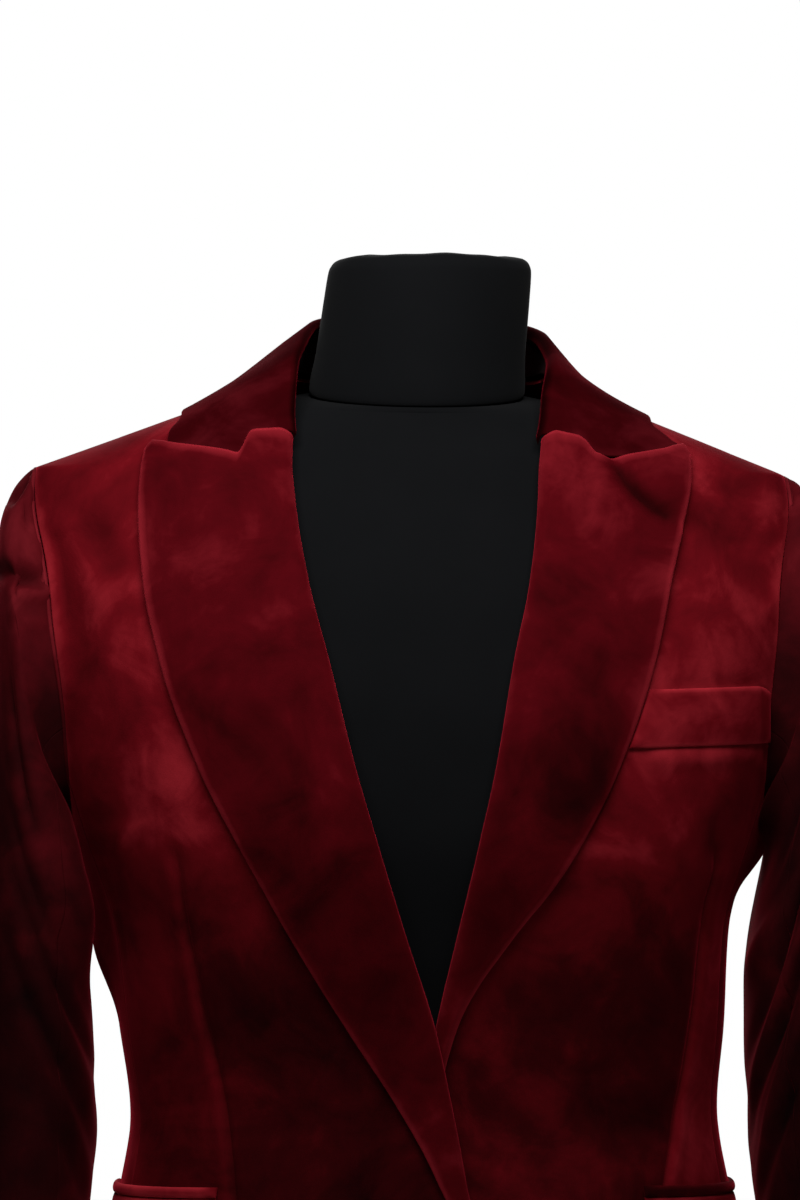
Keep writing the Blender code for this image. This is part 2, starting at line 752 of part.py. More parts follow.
def sleeve_ring(curves, along, angle):
    """A point of the sleeve: angle 0 is the outer side, 90 the front, 180 the inner side."""
    at = {name: curve(along) for name, curve in curves.items()}
    outer = np.array([at["outer_x"], at["mid_y"], at["outer_z"]])
    inner = np.array([at["inner_x"], at["mid_y"], at["inner_z"]])
    turn = math.radians(angle)
    power = 2.0 / SLEEVE_ROUNDNESS
    depth = at["depth"] - sleeve_fold(along, angle)
    point = (outer + inner) / 2 + (outer - inner) / 2 * signed_power(math.cos(turn), power)
    return point + np.array([0.0, -1.0, 0.0]) * depth * signed_power(math.sin(turn), power)


def sleeve_point(curves, step, angle):
    """Blends from the armhole into the hanging rings."""
    start = body_point(*armhole(angle)) + np.array([SLEEVE_START, 0.0, 0.0])
    if step == 0:
        return start
    along = (step - 1) / (SLEEVE_STEPS - 1)
    blend = min(step / ARMHOLE_BLEND_RINGS, 1.0)
    return start * (1.0 - blend) + sleeve_ring(curves, along, angle) * blend


def sleeve_grid(curves, angles, turn):
    """Points of a sleeve from armhole to cuff at the angles, all turned by the same amount."""
    steps = range(SLEEVE_STEPS + 1)
    return np.array([[sleeve_point(curves, step, angle + turn) for angle in angles] for step in steps])


def make_sleeve(side, word, parent):
    """Top and under sleeve, which meet along a front and a back seam."""
    curves = sleeve_curves()
    upper = [angle for _, _, angle in FRONT_ROWS if angle <= SLEEVE_SEAM]
    lower = [SLEEVE_SEAM] + underarm_angles() + [360.0 - SLEEVE_SEAM]
    spans = (
        ("top_sleeve_", [-angle for angle in upper[:-1]] + upper[::-1]),
        ("under_sleeve_", lower),
    )
    mirror = np.array([side, 1.0, 1.0])
    for stem, angles in spans:
        points = sleeve_grid(curves, angles, 0.0)
        ahead = sleeve_grid(curves, angles, SLEEVE_STEP_ANGLE)
        behind = sleeve_grid(curves, angles, -SLEEVE_STEP_ANGLE)
        normals = np.cross(np.gradient(points, axis=0), ahead - behind)
        normals = normals / np.maximum(np.linalg.norm(normals, axis=2, keepdims=True), TINY * TINY)
        across = len(angles) // 2
        down = SLEEVE_STEPS // 2
        facing = points[down, across] - np.array([SLEEVE_AXIS_X, 0.0, points[down, across, 2]])
        if np.dot(normals[down, across], facing) < 0:
            normals = -normals
        add_wall(stem + word, points * mirror, normals * mirror, WALL, parent, SLEEVE_SEAM_INSET)


def patch(side, rows, place_row, cells, lift, wall):
    """A small piece lying on the front: a grid of angles and heights moved out by its gap and wall."""
    grid = [[place_row(row, j / cells) for j in range(cells + 1)] for row in rows]
    return placed(grid, lambda angle, z: front_place(side, angle, z, lift + wall))


def make_chest_welt(parent):
    """The welt on the wearer's left chest, from the lapel's edge outwards."""

    def place(z, share):
        inner = lapel_edge(LEFT, z) + WELT_LAPEL_GAP
        x = inner + (WELT_OUTER_X - inner) * share
        height = z + WELT_TILT * share
        return front_angle(x, height), height

    middle = (WELT_LOW_Z + WELT_HIGH_Z) / 2
    points, normals = patch(LEFT, (WELT_LOW_Z, middle, WELT_HIGH_Z), place, FLAP_CELLS, LYING_GAP, WELT_WALL)
    add_wall("chest_welt", points, normals, WELT_WALL, parent)


def make_hip_pocket(side, word, parent):
    """A jet with a flap that hangs from it, round from the front to the side."""

    def place(z, share):
        return POCKET_FRONT_ANGLE + (POCKET_BACK_ANGLE - POCKET_FRONT_ANGLE) * share, z

    jet_rows = (POCKET_Z, POCKET_Z + JET_HEIGHT)
    points, normals = patch(RIGHT, jet_rows, place, FLAP_CELLS, LYING_GAP, JET_WALL)
    mirror = np.array([side * RIGHT, 1.0, 1.0])
    add_wall("hip_jet_" + word, points * mirror, normals * mirror, JET_WALL, parent)
    top = POCKET_Z - JET_GAP
    flap_rows = [top - FLAP_HEIGHT * i / FLAP_ROWS for i in range(FLAP_ROWS + 1)]
    points, normals = patch(RIGHT, flap_rows, place, FLAP_CELLS, LYING_GAP, WALL)
    add_wall("hip_flap_" + word, points * mirror, normals * mirror, WALL, parent)


def lathe(profile, sides):
    """Points and faces of a turned profile about Z, from the axis round to the axis."""
    points = [(0.0, 0.0, profile[0][1])]
    inner = profile[1:-1]
    for radius, height in inner:
        for k in range(sides):
            turn = 2 * math.pi * k / sides
            points.append((radius * math.cos(turn), radius * math.sin(turn), height))
    points.append((0.0, 0.0, profile[-1][1]))
    last = len(points) - 1
    faces = []
    for k in range(sides):
        after = (k + 1) % sides
        faces.append((0, 1 + after, 1 + k))
        for i in range(len(inner) - 1):
            low = 1 + i * sides
            faces.append((low + k, low + after, low + sides + after, low + sides + k))
        top = 1 + (len(inner) - 1) * sides
        faces.append((top + k, top + after, last))
    return np.array(points), faces


def make_button(parent):
    """The button on the right front, just under the break of the lapels."""
    profile = [(radius * BUTTON_RADIUS, height) for radius, height in BUTTON_PROFILE]
    points, faces = lathe(profile, BUTTON_SIDES)
    angle = front_angle(-BUTTON_X, BUTTON_Z)
    seat, normal = front_place(RIGHT, angle, BUTTON_Z, LYING_GAP)
    turn = np.array(Matrix(((1, 0, 0), (0, 0, 1), (0, -1, 0))).to_3x3())
    tilt = math.atan2(normal[2], -normal[1])
    lean = np.array(Matrix.Rotation(-tilt, 3, "X"))
    placed_points = points @ turn @ lean.T + seat
    add_object("front_button", placed_points, faces, HORN, parent)


def ring_solid(rings):
    """Points and faces of a closed solid through rings of equal count, flat at both ends."""
    count = len(rings[0])
    points = np.concatenate([np.array(ring) for ring in rings])
    faces = []
    for i in range(len(rings) - 1):
        for k in range(count):
            after = (k + 1) % count
            low = i * count
            faces.append((low + k, low + after, low + count + after, low + count + k))
    faces.append(tuple(range(count - 1, -1, -1)))
    top = (len(rings) - 1) * count
    faces.append(tuple(range(top, top + count)))
    return points, faces


def form_angles():
    return [360.0 * k / FORM_SIDES for k in range(FORM_SIDES)]


def neck_seam_height(angle):
    """The seam round the neck, lower in front."""
    return NECK_SEAM_Z - NECK_SEAM_DROP * (1.0 + math.cos(math.radians(angle))) / 2


def neck_ring_point(angle, z, half, depth):
    return ring_point(angle, z, half, depth, depth, NECK_ROUNDNESS) + np.array([0.0, FORM_NECK_MID_Y, 0.0])


def make_form(parent):
    """The torso under the shoulders' seams and the neck above its own seam."""
    rings = []
    for z, half, front, back in FORM_SECTIONS:
        rings.append([ring_point(a, z, half, front, back, BODY_ROUNDNESS) for a in form_angles()])
    lowest = FORM_SHOULDER_ROWS[0][0]
    span = FORM_SHOULDER_ROWS[-1][0] - lowest
    for z, inset_front, inset_back in FORM_SHOULDER_ROWS:
        level = z + FORM_SHOULDER_DROP
        half = shoulder_half(level)
        share = ((z - lowest) / span) ** 2
        front = BODY["front"](level) - inset_front
        back = BODY["back"](level) - inset_back
        ring = []
        for a in form_angles():
            point = ring_point(a, z, half, front, back, BODY_ROUNDNESS)
            lowered = neck_seam_height(a) - NECK_SEAM_Z
            ring.append(point + np.array([0.0, 0.0, lowered * share]))
        rings.append(ring)
    seam = [neck_ring_point(a, neck_seam_height(a), FORM_NECK_HALF, FORM_NECK_DEPTH) for a in form_angles()]
    rings.append(seam)
    points, faces = ring_solid(rings)
    add_object("form_torso", points, faces, JERSEY, parent)
    rings = []
    for rise, half, depth in FORM_NECK_SECTIONS:
        level = rise / FORM_NECK_SECTIONS[-1][0]
        ring = []
        for a in form_angles():
            seam = neck_seam_height(a) + NECK_SEAM_GAP
            z = seam + (NECK_SEAM_Z - seam) * level + rise
            ring.append(neck_ring_point(a, z, half, depth))
        rings.append(ring)
    points, faces = ring_solid(rings)
    add_object("form_neck", points, faces, JERSEY, parent)


def main():
    for old in list(bpy.data.objects):
        bpy.data.objects.remove(old, do_unlink=True)
    whole = bpy.data.objects.new("blazer_on_dress_form", None)
    bpy.context.scene.collection.objects.link(whole)
    for side, word in SIDES:
        make_front(side, word, whole)
        make_lapel(side, word, whole)
        make_side_panel(side, word, whole)
        make_back(side, word, whole)
        make_sleeve(side, word, whole)
        make_hip_pocket(side, word, whole)
    make_collar(whole)
    make_chest_welt(whole)
    make_button(whole)
    make_form(whole)


main()
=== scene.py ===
"""Looks of the velvet blazer on its dress form: fine cloth sheets, materials, light and camera."""

import math

import bpy
import numpy as np
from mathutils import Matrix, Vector


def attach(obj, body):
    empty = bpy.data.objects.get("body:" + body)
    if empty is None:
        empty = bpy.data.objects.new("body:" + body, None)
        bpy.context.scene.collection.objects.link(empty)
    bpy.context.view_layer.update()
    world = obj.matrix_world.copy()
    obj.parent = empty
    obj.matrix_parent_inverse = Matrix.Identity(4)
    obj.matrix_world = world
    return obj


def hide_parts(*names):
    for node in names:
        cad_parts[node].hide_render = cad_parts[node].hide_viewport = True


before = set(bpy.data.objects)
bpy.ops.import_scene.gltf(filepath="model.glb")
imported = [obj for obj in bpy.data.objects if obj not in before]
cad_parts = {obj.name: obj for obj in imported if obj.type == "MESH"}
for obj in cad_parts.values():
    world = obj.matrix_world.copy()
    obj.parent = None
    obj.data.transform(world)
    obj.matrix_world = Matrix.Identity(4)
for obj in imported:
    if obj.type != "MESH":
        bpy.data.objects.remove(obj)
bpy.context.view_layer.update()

LEFT = 1
RIGHT = -1
WORDS = {LEFT: "left", RIGHT: "right"}
TINY = 1e-9

# Cloth: half of each wall, how round its edges are, how far pieces lie apart
HALF_WALL = 0.0011
HALF_LAPEL = 0.0019
HALF_COLLAR = 0.0012
HALF_WELT = 0.0013
HALF_JET = 0.0016
EDGE_RADIUS = 0.0004
LAPEL_EDGE_RADIUS = 0.0045
COLLAR_EDGE_RADIUS = 0.0018
WELT_EDGE_RADIUS = 0.0026
SEAM_INSET = 0.00005
LYING_GAP = 0.0007

# Low swells of the cloth: seed, size and height; and how wide the calm border of a piece is
WAVE_COUNT = 7
WAVES = {
    "front": (11, 0.16, 0.0016),
    "lapel": (31, 0.075, 0.0011),
    "side_panel": (51, 0.12, 0.0014),
    "back": (61, 0.17, 0.0018),
    "collar": (71, 0.06, 0.0010),
    "sleeve": (81, 0.10, 0.0016),
}
CALM_BORDERS = {"front": 0.008, "side_panel": 0.012, "back": 0.020, "collar": 0.012, "patch": 0.012}

# Places of a grid's lines by an edge, in radii of that edge, and how many of them lie inside it
EDGE_STEPS = (0.0, 0.05, 0.2, 0.5, 1.0, 2.2)
EDGE_STOPS = len(EDGE_STEPS) - 1
# Cells and rough length of each span of a piece's grid: first down the piece, then across it
GRIDS = {
    "front": ((230, 0.66), (44, 0.10), (26, 0.06)),
    "lapel": ((205, 0.42), (58, 0.07)),
    "side_panel": ((130, 0.44), (18, 0.09)),
    "back": ((170, 0.65), (26, 0.08), (40, 0.12)),
    "collar": ((70, 0.22), (34, 0.05), (8, 0.02)),
    "sleeve": ((215, 0.58), (104, 0.20), (42, 0.20)),
    "welt": ((16, 0.030), (44, 0.068)),
    "pocket": ((4, 0.0055), (24, 0.050), (60, 0.12)),
}

# Heights and half widths of the cut
HEM_Z = 0.070
UNDERARM_SEAM_Z = 0.5115
SHOULDER_Z = 0.674
NECK_Z = 0.7235
SHOULDER_HALF = 0.194
NECK_HALF = 0.0645
CENTRE_BACK_NECK_Z = 0.722
BODY_ROUNDNESS = 2.3
SLEEVE_ROUNDNESS = 2.2

# Garment sections: height, half width, depth in front of and behind the shoulder line
BODY_COLUMNS = ("z", "half", "front", "back")
BODY_SECTIONS = (
    (0.070, 0.1780, 0.116, 0.122),
    (0.180, 0.1740, 0.112, 0.120),
    (0.293, 0.1590, 0.105, 0.097),
    (0.340, 0.1520, 0.102, 0.081),
    (0.385, 0.1565, 0.107, 0.084),
    (0.435, 0.1610, 0.118, 0.093),
    (0.490, 0.1780, 0.127, 0.102),
    (0.540, 0.1920, 0.121, 0.106),
    (0.600, 0.2020, 0.104, 0.103),
    (0.640, 0.2020, 0.086, 0.094),
    (0.674, 0.1940, 0.070, 0.083),
    (0.700, 0.1260, 0.058, 0.072),
    (0.7235, 0.0645, 0.049, 0.062),
)

# How the whole part has settled on its stand: height, shift along X, shift along Z, lean of Z over X
SETTLING = (
    (0.330, 0.0000, 0.0000, 0.000),
    (0.440, -0.0035, 0.0000, 0.000),
    (0.600, -0.0060, 0.0000, -0.006),
    (0.674, -0.0070, -0.0022, -0.011),
    (0.7235, -0.0030, -0.0022, -0.011),
    (0.783, 0.0040, 0.0000, 0.000),
)

# Front edge and roll line, outer edges of the two lapels, as distances from the centre front
LAPEL_COLUMNS = ("z", "roll_right", "roll_left", "edge_right", "edge_left")
LAPEL_ROWS = (
    (0.070, -0.0120, -0.0120, 0.0500, 0.0500),
    (0.160, -0.0210, -0.0210, 0.0250, 0.0250),
    (0.270, -0.0240, -0.0240, -0.0200, -0.0205),
    (0.313, -0.0155, -0.0144, -0.0030, -0.0070),
    (0.354, -0.0085, -0.0040, 0.0180, 0.0040),
    (0.390, -0.0018, 0.0058, 0.0400, 0.0150),
    (0.432, 0.0102, 0.0163, 0.0640, 0.0405),
    (0.478, 0.0236, 0.0268, 0.0890, 0.0735),
    (0.521, 0.0355, 0.0372, 0.1110, 0.0970),
    (0.575, 0.0478, 0.0478, 0.1300, 0.1172),
    (0.613, 0.0568, 0.0568, 0.1375, 0.1265),
    (0.652, 0.0625, 0.0625, 0.1400, 0.1362),
    (0.676, 0.0643, 0.0643, 0.1385, 0.1402),
    (0.691, 0.0648, 0.0648, 0.1365, 0.1402),
    (0.7235, 0.0645, 0.0645, 0.1290, 0.1290),
)

# Rows up the front: height at the roll line, height at the dart's line, angle round the armhole
ROW_COLUMNS = ("roll_z", "dart_z", "armhole")
UPPER_ROWS = (
    (0.5500, 0.5500, 118.0),
    (0.5900, 0.5900, 96.0),
    (0.6300, 0.6290, 74.0),
    (0.6620, 0.6600, 54.0),
    (0.6910, 0.6855, 36.0),
    (0.7055, 0.6900, 21.0),
    (0.7165, 0.6935, 9.0),
    (0.7235, 0.6955, 0.0),
)
SEAM_ROWS = (0.070, 0.125, 0.180, 0.235, 0.270, 0.305, 0.340, 0.375, 0.410, 0.445, 0.480, 0.5115)
LAPEL_FIRST_ROW = 4
LAPEL_LAST_ROW = 16
UNDERARM_ANGLE = 140.0

# Line of the dart on each front, and of the same column above it; its sewn groove as depth and width,
# the ridge beside it as height and width, and the pucker at its tip as depth, width and length
DART_COLUMNS = ("z", "right", "left")
DART_ROWS = (
    (0.070, 0.0850, 0.1000),
    (0.200, 0.0930, 0.1080),
    (0.300, 0.0980, 0.1180),
    (0.362, 0.1046, 0.1310),
    (0.405, 0.1130, 0.1385),
    (0.449, 0.1200, 0.1450),
    (0.476, 0.1240, 0.1500),
    (0.550, 0.1320, 0.1480),
    (0.630, 0.1360, 0.1400),
    (0.6955, 0.1378, 0.1378),
)
DART_TIP_Z = 0.476
DART_FADE = 0.012
DART_TIP_LENGTH = 0.002
DART_GROOVE = (0.0020, 0.0014)
DART_RIDGE = (0.0012, 0.0035)
DART_RIDGE_GAP = 0.0042
DART_PUCKER = (0.0012, 0.0040, 0.0060)

# Gorge and lapel top: share of the way from roll line to lapel edge, rise over the straight line
GORGE_COLUMNS = ("share", "right", "left")
GORGE_RISES = (
    (0.00, 0.0000, 0.0000),
    (0.07, 0.0015, 0.0018),
    (0.17, 0.0017, 0.0016),
    (0.26, 0.0009, -0.0014),
    (0.35, -0.0100, -0.0078),
    (0.42, -0.0085, -0.0085),
    (0.80, -0.0029, -0.0030),
    (0.94, -0.0009, 0.0006),
    (1.00, -0.0055, -0.0050),
)
GORGE_TUCK = 0.0010
GORGE_ROWS = 2.5
ROLL_SETBACK = 0.0032
ROLL_HEIGHT = 0.0056
ROLL_LENGTH = 0.0070
LAPEL_LIE = 0.0048
NOSE_UNDER = 28.0
NOSE_STEPS = 9

# The wearer's left front lies under the right one along the centre
UNDERLAP = 0.0090
UNDERLAP_INNER = 0.026
UNDERLAP_OUTER = 0.075
UNDERLAP_LOW_Z = 0.400
UNDERLAP_HIGH_Z = 0.480

# Armhole: an oval in angle and height on the body's surface
ARMHOLE_MID_Z = 0.582
ARMHOLE_HALF_HEIGHT = 0.092
ARMHOLE_HALF_ANGLE = 25.0

# Back: angle of the column that ends at the neck point
BACK_COLUMN_HEM = 148.0
BACK_COLUMN_UNDERARM = 140.0

# Collar stations from the gorge to the centre back: fold line, neckline and outer edge as angle and height,
# and how much lower the fold sits on the wearer's left
COLLAR_COLUMNS = ("fold_x", "fold_y", "fold_z", "neck_angle", "neck_z", "edge_angle", "edge_z", "left_drop")
COLLAR_STATIONS = (
    (0.0648, -0.0580, 0.6922, 24.0, 0.6914, 53.0, 0.6872, 0.0000),
    (0.0664, -0.0465, 0.7090, 34.0, 0.7060, 60.0, 0.6950, 0.0000),
    (0.0664, -0.0280, 0.7255, 53.0, 0.7170, 72.0, 0.7000, 0.0018),
    (0.0632, -0.0020, 0.7380, 91.0, 0.7235, 97.0, 0.7030, 0.0045),
    (0.0580, 0.0270, 0.7475, 114.0, 0.7230, 118.0, 0.7000, 0.0042),
    (0.0450, 0.0490, 0.7515, 137.0, 0.7225, 140.0, 0.6970, 0.0028),
    (0.0240, 0.0635, 0.7520, 159.0, 0.7220, 161.0, 0.6940, 0.0015),
    (0.0000, 0.0685, 0.7520, 180.0, 0.7220, 180.0, 0.6930, 0.0000),
)
COLLAR_LIE = 0.0046
CENTRE_BACK_SHARE = 0.006
STAND_START = 0.25
STAND_GAP = 0.0018
STAND_TOP_GAP = 0.0014
FOLD_BULGE = 0.0030
FOLD_BULGE_START = 0.30
FOLD_BULGE_FULL = 0.70
FOLD_SPREAD = 1.30
COLLAR_FRONT_LIE = 0.0030
COLLAR_EDGE_LIE = 0.0026
COLLAR_LIE_SPAN = (0.05, 0.25)
COLLAR_TIP_TURN = {LEFT: 2.4, RIGHT: -3.0}
FOLD_UPRIGHT_SHARE = 0.40
FOLD_FALLOFF = {LEFT: 2.2, RIGHT: 1.6}
FOLD_NOSE = {LEFT: 0.0040, RIGHT: 0.0026}
# Painted shade on the first columns of the collar's fold, where it turns under
FOLD_SHADE = (-0.34, -0.34, -0.28, -0.16, -0.05)
FOLD_TURNS = (-25.0, 10.0, 40.0, 65.0)
# Painted highlight along the collar's rims: how much lighter, and its width
COLLAR_RIM_HIGHLIGHT = 0.05
COLLAR_RIM_WIDTH = 0.0025
GORGE_FADE = 0.16

# Sleeve rings under the armhole: outer and inner side, half depth, middle along Y
SLEEVE_COLUMNS = ("outer_x", "outer_z", "inner_x", "inner_z", "depth", "mid_y")
SLEEVE_RINGS = (
    (0.2040, 0.6715, 0.1815, 0.4905, 0.0570, 0.000),
    (0.2105, 0.6580, 0.1835, 0.4890, 0.0595, 0.000),
    (0.2135, 0.6380, 0.1840, 0.4850, 0.0610, -0.001),
    (0.2150, 0.6120, 0.1830, 0.4770, 0.0625, -0.001),
    (0.2175, 0.5750, 0.1810, 0.4640, 0.0640, -0.002),
    (0.2210, 0.5300, 0.1765, 0.4450, 0.0650, -0.002),
    (0.2250, 0.4800, 0.1722, 0.4220, 0.0650, -0.003),
    (0.2290, 0.4300, 0.1698, 0.3930, 0.0640, -0.004),
    (0.2320, 0.3850, 0.1688, 0.3600, 0.0620, -0.006),
    (0.2345, 0.3400, 0.1700, 0.3240, 0.0600, -0.009),
    (0.2365, 0.2950, 0.1738, 0.2850, 0.0580, -0.013),
    (0.2385, 0.2500, 0.1800, 0.2440, 0.0560, -0.018),
    (0.2405, 0.2050, 0.1850, 0.2020, 0.0540, -0.023),
    (0.2425, 0.1500, 0.1890, 0.1490, 0.0520, -0.030),
    (0.2430, 0.0950, 0.1900, 0.0950, 0.0500, -0.036),
)
SLEEVE_STEPS = 24
SLEEVE_START = 0.0006
ARMHOLE_BLEND_RINGS = 4
SLEEVE_SEAM = 118.0
SLEEVE_AXIS_X = 0.205
# Painted light and shade on the sleeves: the highest relief that is still painted lighter, the share of the
# painted shade kept on their backs, the turn over which it grows to full on their fronts, and the width of
# the painted highlight at the sleeve head in steps
SLEEVE_LIGHT_CREST = 0.003
SLEEVE_SHADE_LEAST = 0.45
SLEEVE_SHADE_TURN = (-0.45, 0.35)
SLEEVE_HEAD_STEPS = 0.30
SLEEVE_CALM_STEPS = 0.4

# Pockets
WELT_LOW_Z = 0.5310
WELT_HIGH_Z = 0.5603
WELT_OUTER_X = 0.1776
WELT_LAPEL_GAP = 0.0008
WELT_TILT = 0.0020
WELT_CORNER = 0.0035
WELT_STITCH_INSET = 0.0048
WELT_STITCH_DEPTH = 0.0005
WELT_STITCH_WIDTH = 0.0012
WELT_CORNER_START = 0.90
WELT_SWELL = 0.0007
# Painted shade: the welt is painted a little darker than the panel
WELT_SHADE = -0.04
POCKET_Z = 0.2970
POCKET_FRONT_ANGLE = 40.0
POCKET_BACK_ANGLE = 98.0
JET_HEIGHT = 0.0055
POCKET_SLANT = 0.0070
# Painted light and shade of the jets and flaps: the right jet a little lighter, the left jet painted dark as
# a jet in shadow, and the flaps painted lighter on their lit tops
JET_LIGHT_AND_SHADE = {RIGHT: 0.02, LEFT: -0.30}
FLAP_LIGHT = 0.04
FLAP_SWELL = 0.0006
# Painted highlight along the rims of the welt, jets and flaps: how much lighter, its width, and the span from
# their first edge over which it comes in
PATCH_RIM_HIGHLIGHT = 0.18
PATCH_RIM_WIDTH = 0.0020
PATCH_RIM_START = (0.002, 0.010)
# Painted shade in the stitched line, for each metre of its depth
STITCH_SHADE = 150.0
JET_GAP = 0.0004
FLAP_HEIGHT = 0.0500


def column(table, columns, name):
    """One named column of a table."""
    return np.array([row[columns.index(name)] for row in table], float)


def curve(xs, ys):
    """A smooth function through the points that never overshoots between them."""
    xs = np.asarray(xs, float)
    ys = np.asarray(ys, float)
    steps = np.diff(xs)
    rises = np.diff(ys) / steps
    slopes = np.zeros(len(xs))
    slopes[0] = rises[0]
    slopes[-1] = rises[-1]
    for i in range(1, len(xs) - 1):
        if rises[i - 1] * rises[i] > 0:
            near = 2 * steps[i] + steps[i - 1]
            far = steps[i] + 2 * steps[i - 1]
            slopes[i] = (near + far) / (near / rises[i - 1] + far / rises[i])

    def value(x):
        x = np.clip(x, xs[0], xs[-1])
        i = np.clip(np.searchsorted(xs, x) - 1, 0, len(xs) - 2)
        t = (x - xs[i]) / steps[i]
        start = (1 + 2 * t) * (1 - t) ** 2 * ys[i] + t * (1 - t) ** 2 * steps[i] * slopes[i]
        end = t * t * (3 - 2 * t) * ys[i + 1] + t * t * (t - 1) * steps[i] * slopes[i + 1]
        return start + end

    return value


def curves(table, columns, key=None):
    """A curve of each column against the key column, or against the share of the way down the table."""
    xs = np.linspace(0.0, 1.0, len(table)) if key is None else column(table, columns, key)
    return {name: curve(xs, column(table, columns, name)) for name in columns if name != key}


def ease(low, high, x):
    t = np.clip((np.asarray(x, float) - low) / (high - low), 0.0, 1.0)
    return t * t * (3 - 2 * t)


def bell(x):
    return np.exp(-np.square(x))


def unit(vectors):
    return vectors / np.maximum(np.linalg.norm(vectors, axis=-1, keepdims=True), TINY)


def power(value, exponent):
    return np.sign(value) * np.abs(value) ** exponent


def stacked(x, y, z):
    return np.stack(np.broadcast_arrays(x, y, z), axis=-1)


BODY = curves(BODY_SECTIONS, BODY_COLUMNS, "z")
LAPEL = curves(LAPEL_ROWS, LAPEL_COLUMNS, "z")
DART = curves(DART_ROWS, DART_COLUMNS, "z")
COLLAR = curves(COLLAR_STATIONS, COLLAR_COLUMNS)
SLEEVE = curves(SLEEVE_RINGS, SLEEVE_COLUMNS)
GORGE = curves(GORGE_RISES, GORGE_COLUMNS, "share")
LAST_ROW = len(SEAM_ROWS) + len(UPPER_ROWS) - 1
ROW_NUMBERS = np.arange(LAST_ROW + 1)
ROLL_Z = curve(ROW_NUMBERS, SEAM_ROWS + tuple(column(UPPER_ROWS, ROW_COLUMNS, "roll_z")))
DART_Z = curve(ROW_NUMBERS, SEAM_ROWS + tuple(column(UPPER_ROWS, ROW_COLUMNS, "dart_z")))
SEAM_Z = curve(ROW_NUMBERS[: len(SEAM_ROWS)], SEAM_ROWS)
ARMHOLE_TURN = curve(
    ROW_NUMBERS[len(SEAM_ROWS) - 1 :], (UNDERARM_ANGLE,) + tuple(column(UPPER_ROWS, ROW_COLUMNS, "armhole"))
)


def shoulder_half(z):
    return SHOULDER_HALF + (z - SHOULDER_Z) * (NECK_HALF - SHOULDER_HALF) / (NECK_Z - SHOULDER_Z)


def shoulder_height(x):
    return SHOULDER_Z + (SHOULDER_HALF - x) * (NECK_Z - SHOULDER_Z) / (SHOULDER_HALF - NECK_HALF)


def body_half(z):
    return np.where(z <= SHOULDER_Z, BODY["half"](z), shoulder_half(z))


def ring(angle, z, half, front, back, roundness):
    """Points on rounded sections: angle 0 is the front, 90 is +X."""
    turn = np.radians(angle)
    x = half * power(np.sin(turn), 2.0 / roundness)
    depth = np.where(np.cos(turn) >= 0, front, back)
    return stacked(x, -depth * power(np.cos(turn), 2.0 / roundness), z)


def body(angle, z):
    z = np.asarray(z, float)
    return ring(angle, z, body_half(z), BODY["front"](z), BODY["back"](z), BODY_ROUNDNESS)


def body_normal(angle, z):
    step_angle = 0.2
    step_z = 0.0004
    z = np.minimum(z, NECK_Z - step_z)
    across = body(angle + step_angle, z) - body(angle - step_angle, z)
    up = body(angle, z + step_z) - body(angle, z - step_z)
    return unit(np.cross(across, up))


def front_angle(x, z):
    """Angle of the front's point that lies x from the centre."""
    ratio = np.minimum(np.abs(x) / body_half(z), 1.0)
    return np.degrees(np.arcsin(ratio ** (BODY_ROUNDNESS / 2.0))) * np.where(np.asarray(x) >= 0, 1.0, -1.0)


def underlap(side, points):
    """How far the wearer's left front is sunk beneath the right one."""
    if side == RIGHT:
        return np.zeros(points.shape[:-1])
    across = 1.0 - ease(UNDERLAP_INNER, UNDERLAP_OUTER, points[..., 0])
    return UNDERLAP * across * (1.0 - ease(UNDERLAP_LOW_Z, UNDERLAP_HIGH_Z, points[..., 2]))


def on_body(side, angle, z, lift):
    """Points of one side of the garment, moved out by lift. Angles grow towards the back."""
    points = body(angle, z)
    points = points + body_normal(angle, z) * (lift - underlap(side, points))[..., None]
    return points * np.array([side, 1.0, 1.0])


def armhole(turn):
    """Angle and height on the body round the armhole: 0 is the shoulder, 90 the front, 180 the underarm."""
    turn = np.radians(turn)
    return 90.0 - ARMHOLE_HALF_ANGLE * np.sin(turn), ARMHOLE_MID_Z + ARMHOLE_HALF_HEIGHT * np.cos(turn)


def settle(points):
    """Shifts points as the whole part has settled and leans on its stand."""
    heights, shifts, drops, leans = zip(*SETTLING)
    points = np.array(points, float)
    z = points[..., 2].copy()
    points[..., 2] += np.interp(z, heights, drops) + np.interp(z, heights, leans) * points[..., 0]
    points[..., 0] += np.interp(z, heights, shifts)
    return points


def stops(count, length, radius=EDGE_RADIUS):
    """Shares across a piece, close together by its two edges."""
    near = np.array(EDGE_STEPS) * radius / length
    middle = np.linspace(near[-1], 1.0 - near[-1], count + 1)[1:-1]
    return np.concatenate([near, middle, 1.0 - near[::-1]])


def lengths(points, axis):
    """Distance along a grid from its first to each point, and the whole length of each line."""
    step = np.linalg.norm(np.diff(points, axis=axis), axis=-1)
    start = np.zeros_like(np.take(step, [0], axis=axis))
    along = np.concatenate([start, np.cumsum(step, axis=axis)], axis=axis)
    return along, np.take(along, [-1], axis=axis)


def edge_distance(points):
    """Distance of each grid point from the nearest border."""
    down, height = lengths(points, 0)
    across, width = lengths(points, 1)
    return np.minimum(np.minimum(down, height - down), np.minimum(across, width - across))


def grid_normals(points):
    return unit(np.cross(np.gradient(points, axis=0), np.gradient(points, axis=1)))


